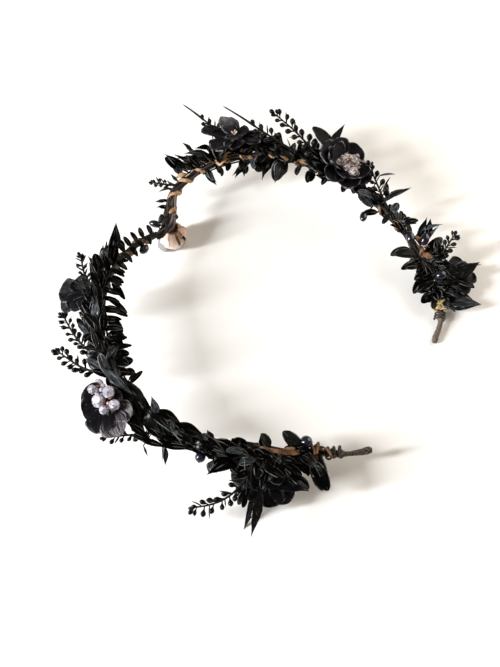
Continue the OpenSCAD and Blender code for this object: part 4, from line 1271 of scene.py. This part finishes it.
# Crystals of the two large flowers, by side: finish, then place, out, up, radius, turn, rise, tint
CRYSTALS = {
    "left": (CLEAR, [
        (-106.5, 13.8, 7.6, 3.4, 0, 75, 0.8), (-106.8, 8.3, 11, 3, 40, 60, 0.6),
        (-112.2, 9.9, 10.2, 2.7, 200, 60, 0.5), (-99, 9.6, 4, 2.5, 90, 50, 0.6),
        (-101.4, 13.6, 8.6, 2.2, 60, 50, 0.7), (-110.9, 14.7, 9, 2.3, -60, 50, 0.7)]),
    "right": (SMOKY, [
        (116.8, 1.2, 14, 2.3, 0, 70, -0.6), (121.7, 7.6, 11, 2.6, 0, 60, 0.5),
        (125.3, 0.4, 13.2, 2.6, 30, 60, 0.3), (117.4, 9.1, 8.6, 2.1, 180, 70, 0.2),
        (124.8, 12.3, 5, 2.3, 120, 60, 0.4), (120.4, 1.9, 11.2, 2.3, 90, 50, 0.3)]),
}
# Levels of a cut crystal: height, radius, half steps round
CUT = [(-0.8, 0.5, 0), (-0.52, 0.82, 1), (-0.1, 0.985, 0), (0.1, 0.985, 0), (0.52, 0.82, 1),
       (0.8, 0.5, 0)]
CUT_SIDES = 10
WIRE_R = 0.3


def cut_bead(shape, s, centre, face, r, tint):
    """A cut bead at a place of the band, its flat top towards its face."""
    e1, e2 = face_axes(s, face)
    rings = [centre + r * level * face + r * radius * circle(CUT_SIDES, e1, e2, half / 2)
             for level, radius, half in CUT]
    shape.skin(rings, tint)


def make_crystal(side, number, finish, s, out, up, r, turn, rise, tint):
    """A cut crystal on a fine wire from the heart of its flower."""
    name = f"crystal_{side}_{number}"
    shape = Shape()
    centre = off_band(s, out, up)
    heart = off_band(*FLOWERS["flower_" + side][:3])
    cut_bead(shape, s, centre, heading(s, turn, rise), r, tint)
    tube(shape, [heart, (heart + centre) / 2 + UP, centre], WIRE_R, 6, 0.5, 1)
    place_piece(shape, name + "_cut", [finish, STEM], [name], False)


# Beads strewn among the crystals: name, place, out, up, spread along, out and up, number of small
# cut beads, number of seed pearls, finish
STREWN = {
    "strewn_left": (-106.5, 11.5, 6.5, 6.5, 4.5, 3.5, 14, 7, CLEAR),
    "strewn_right": (121, 5.5, 9, 5.5, 6.0, 3.0, 26, 7, SMOKY),
}
SMALL_CUT_R = 1.35
SEED_R = 0.95


def strew(name, s, out, up, along, wide, high, cuts, seeds, finish):
    """Small beads between the crystals: cut ones with flat facets and pearls that are round."""
    rng = random.Random(name)
    glass, pearl = Shape(), Shape()
    for i in range(cuts + seeds):
        angle = i * GOLDEN_TURN
        reach = math.sqrt((i + 0.5) / (cuts + seeds))
        place = s + along * reach * cosd(angle)
        lift = high * (1 - reach) + rng.uniform(-1, 1)
        centre = off_band(place, out + wide * reach * sind(angle), up + lift)
        face = heading(place, rng.uniform(0, 360), rng.uniform(45, 85))
        if i % 3 == 1:
            ball(pearl, centre, face, 2 * SEED_R, 2 * SEED_R, rng.random(), 0, 14, 9)
        else:
            cut_bead(glass, place, centre, face, SMALL_CUT_R * rng.uniform(0.8, 1.2), rng.random())
    place_piece(glass, name + "_cut", [finish], [], False)
    place_piece(pearl, name + "_seed", [SEED], [])


# Dark pearls: place, out, up, length, width, turn, rise, clock of the wire
PEARLS = {
    "pearl_front_left": (-4, 6.4, 0, 6.4, 3.8, -30, 0, 0),
    "pearl_front_under": (-20, -4.4, 0, 5.6, 4.2, 90, 0, 180),
    "pearl_lower_left_a": (-150, 8.1, 0, 5.4, 5, 0, 0, 0),
    "pearl_lower_left_b": (-154, 5.1, 0, 5.6, 4.8, 20, 0, 0),
    "pearl_end_left": (-197, -3.6, 5, 6.2, 6, 0, 30, 150),
    "pearl_right_a": (170, -2, 6, 7, 4.6, -60, 10, 90),
    "pearl_right_b": (175, 4, 6, 6.8, 4.6, -40, 20, 60),
    "pearl_right_end": (196, 2, 7, 6, 5.6, 0, 20, 90),
    "pearl_right_mid": (141.5, -10.2, 0.5, 6.4, 4, 155, 10, 180),
}


def make_pearl(name, s, out, up, length, width, turn, rise, clock):
    """A dark pearl with a small end bead, on a wire from the band."""
    shape = Shape()
    centre = off_band(s, out, up)
    d = heading(s, turn, rise)
    foot = beside(s, clock, BAND_R + SEAT)
    ball(shape, centre, d, length, width, 0.5, 0, 28, 18)
    ball(shape, centre + d * length * 0.49, d, 0.5, 0.9, 0.5, 1, 10, 6)
    tube(shape, [between(foot, centre, k / 4) for k in range(5)], 0.4, 8, 0.5, 1)
    place_piece(shape, name + "_gloss", [BERRY, STEM], [name])


def make_floor():
    mesh = bpy.data.meshes.new("table_top")
    r = FLOOR_REACH
    mesh.from_pydata([(-r, -r, 0), (r, -r, 0), (r, r, 0), (-r, r, 0)], [], [(0, 1, 2, 3)])
    floor = bpy.data.objects.new("table_top", mesh)
    mesh.materials.append(TABLE)
    bpy.context.scene.collection.objects.link(floor)


make_band()
for name, row in TIPS.items():
    make_tip(name, *row)
for name, row in WRAPS.items():
    make_wrap(name, *row)
for name, row in TWIGS.items():
    make_twig(name, *row)
for row in SPRIGS:
    make_sprig(*row)
for name, row in FLOWERS.items():
    make_flower(name, *row)
make_rosebud()
for side, (finish, rows) in CRYSTALS.items():
    for number, row in enumerate(rows, 1):
        make_crystal(side, number, finish, *row)
for name, row in STREWN.items():
    strew(name, *row)
for name, row in PEARLS.items():
    make_pearl(name, *row)
make_floor()
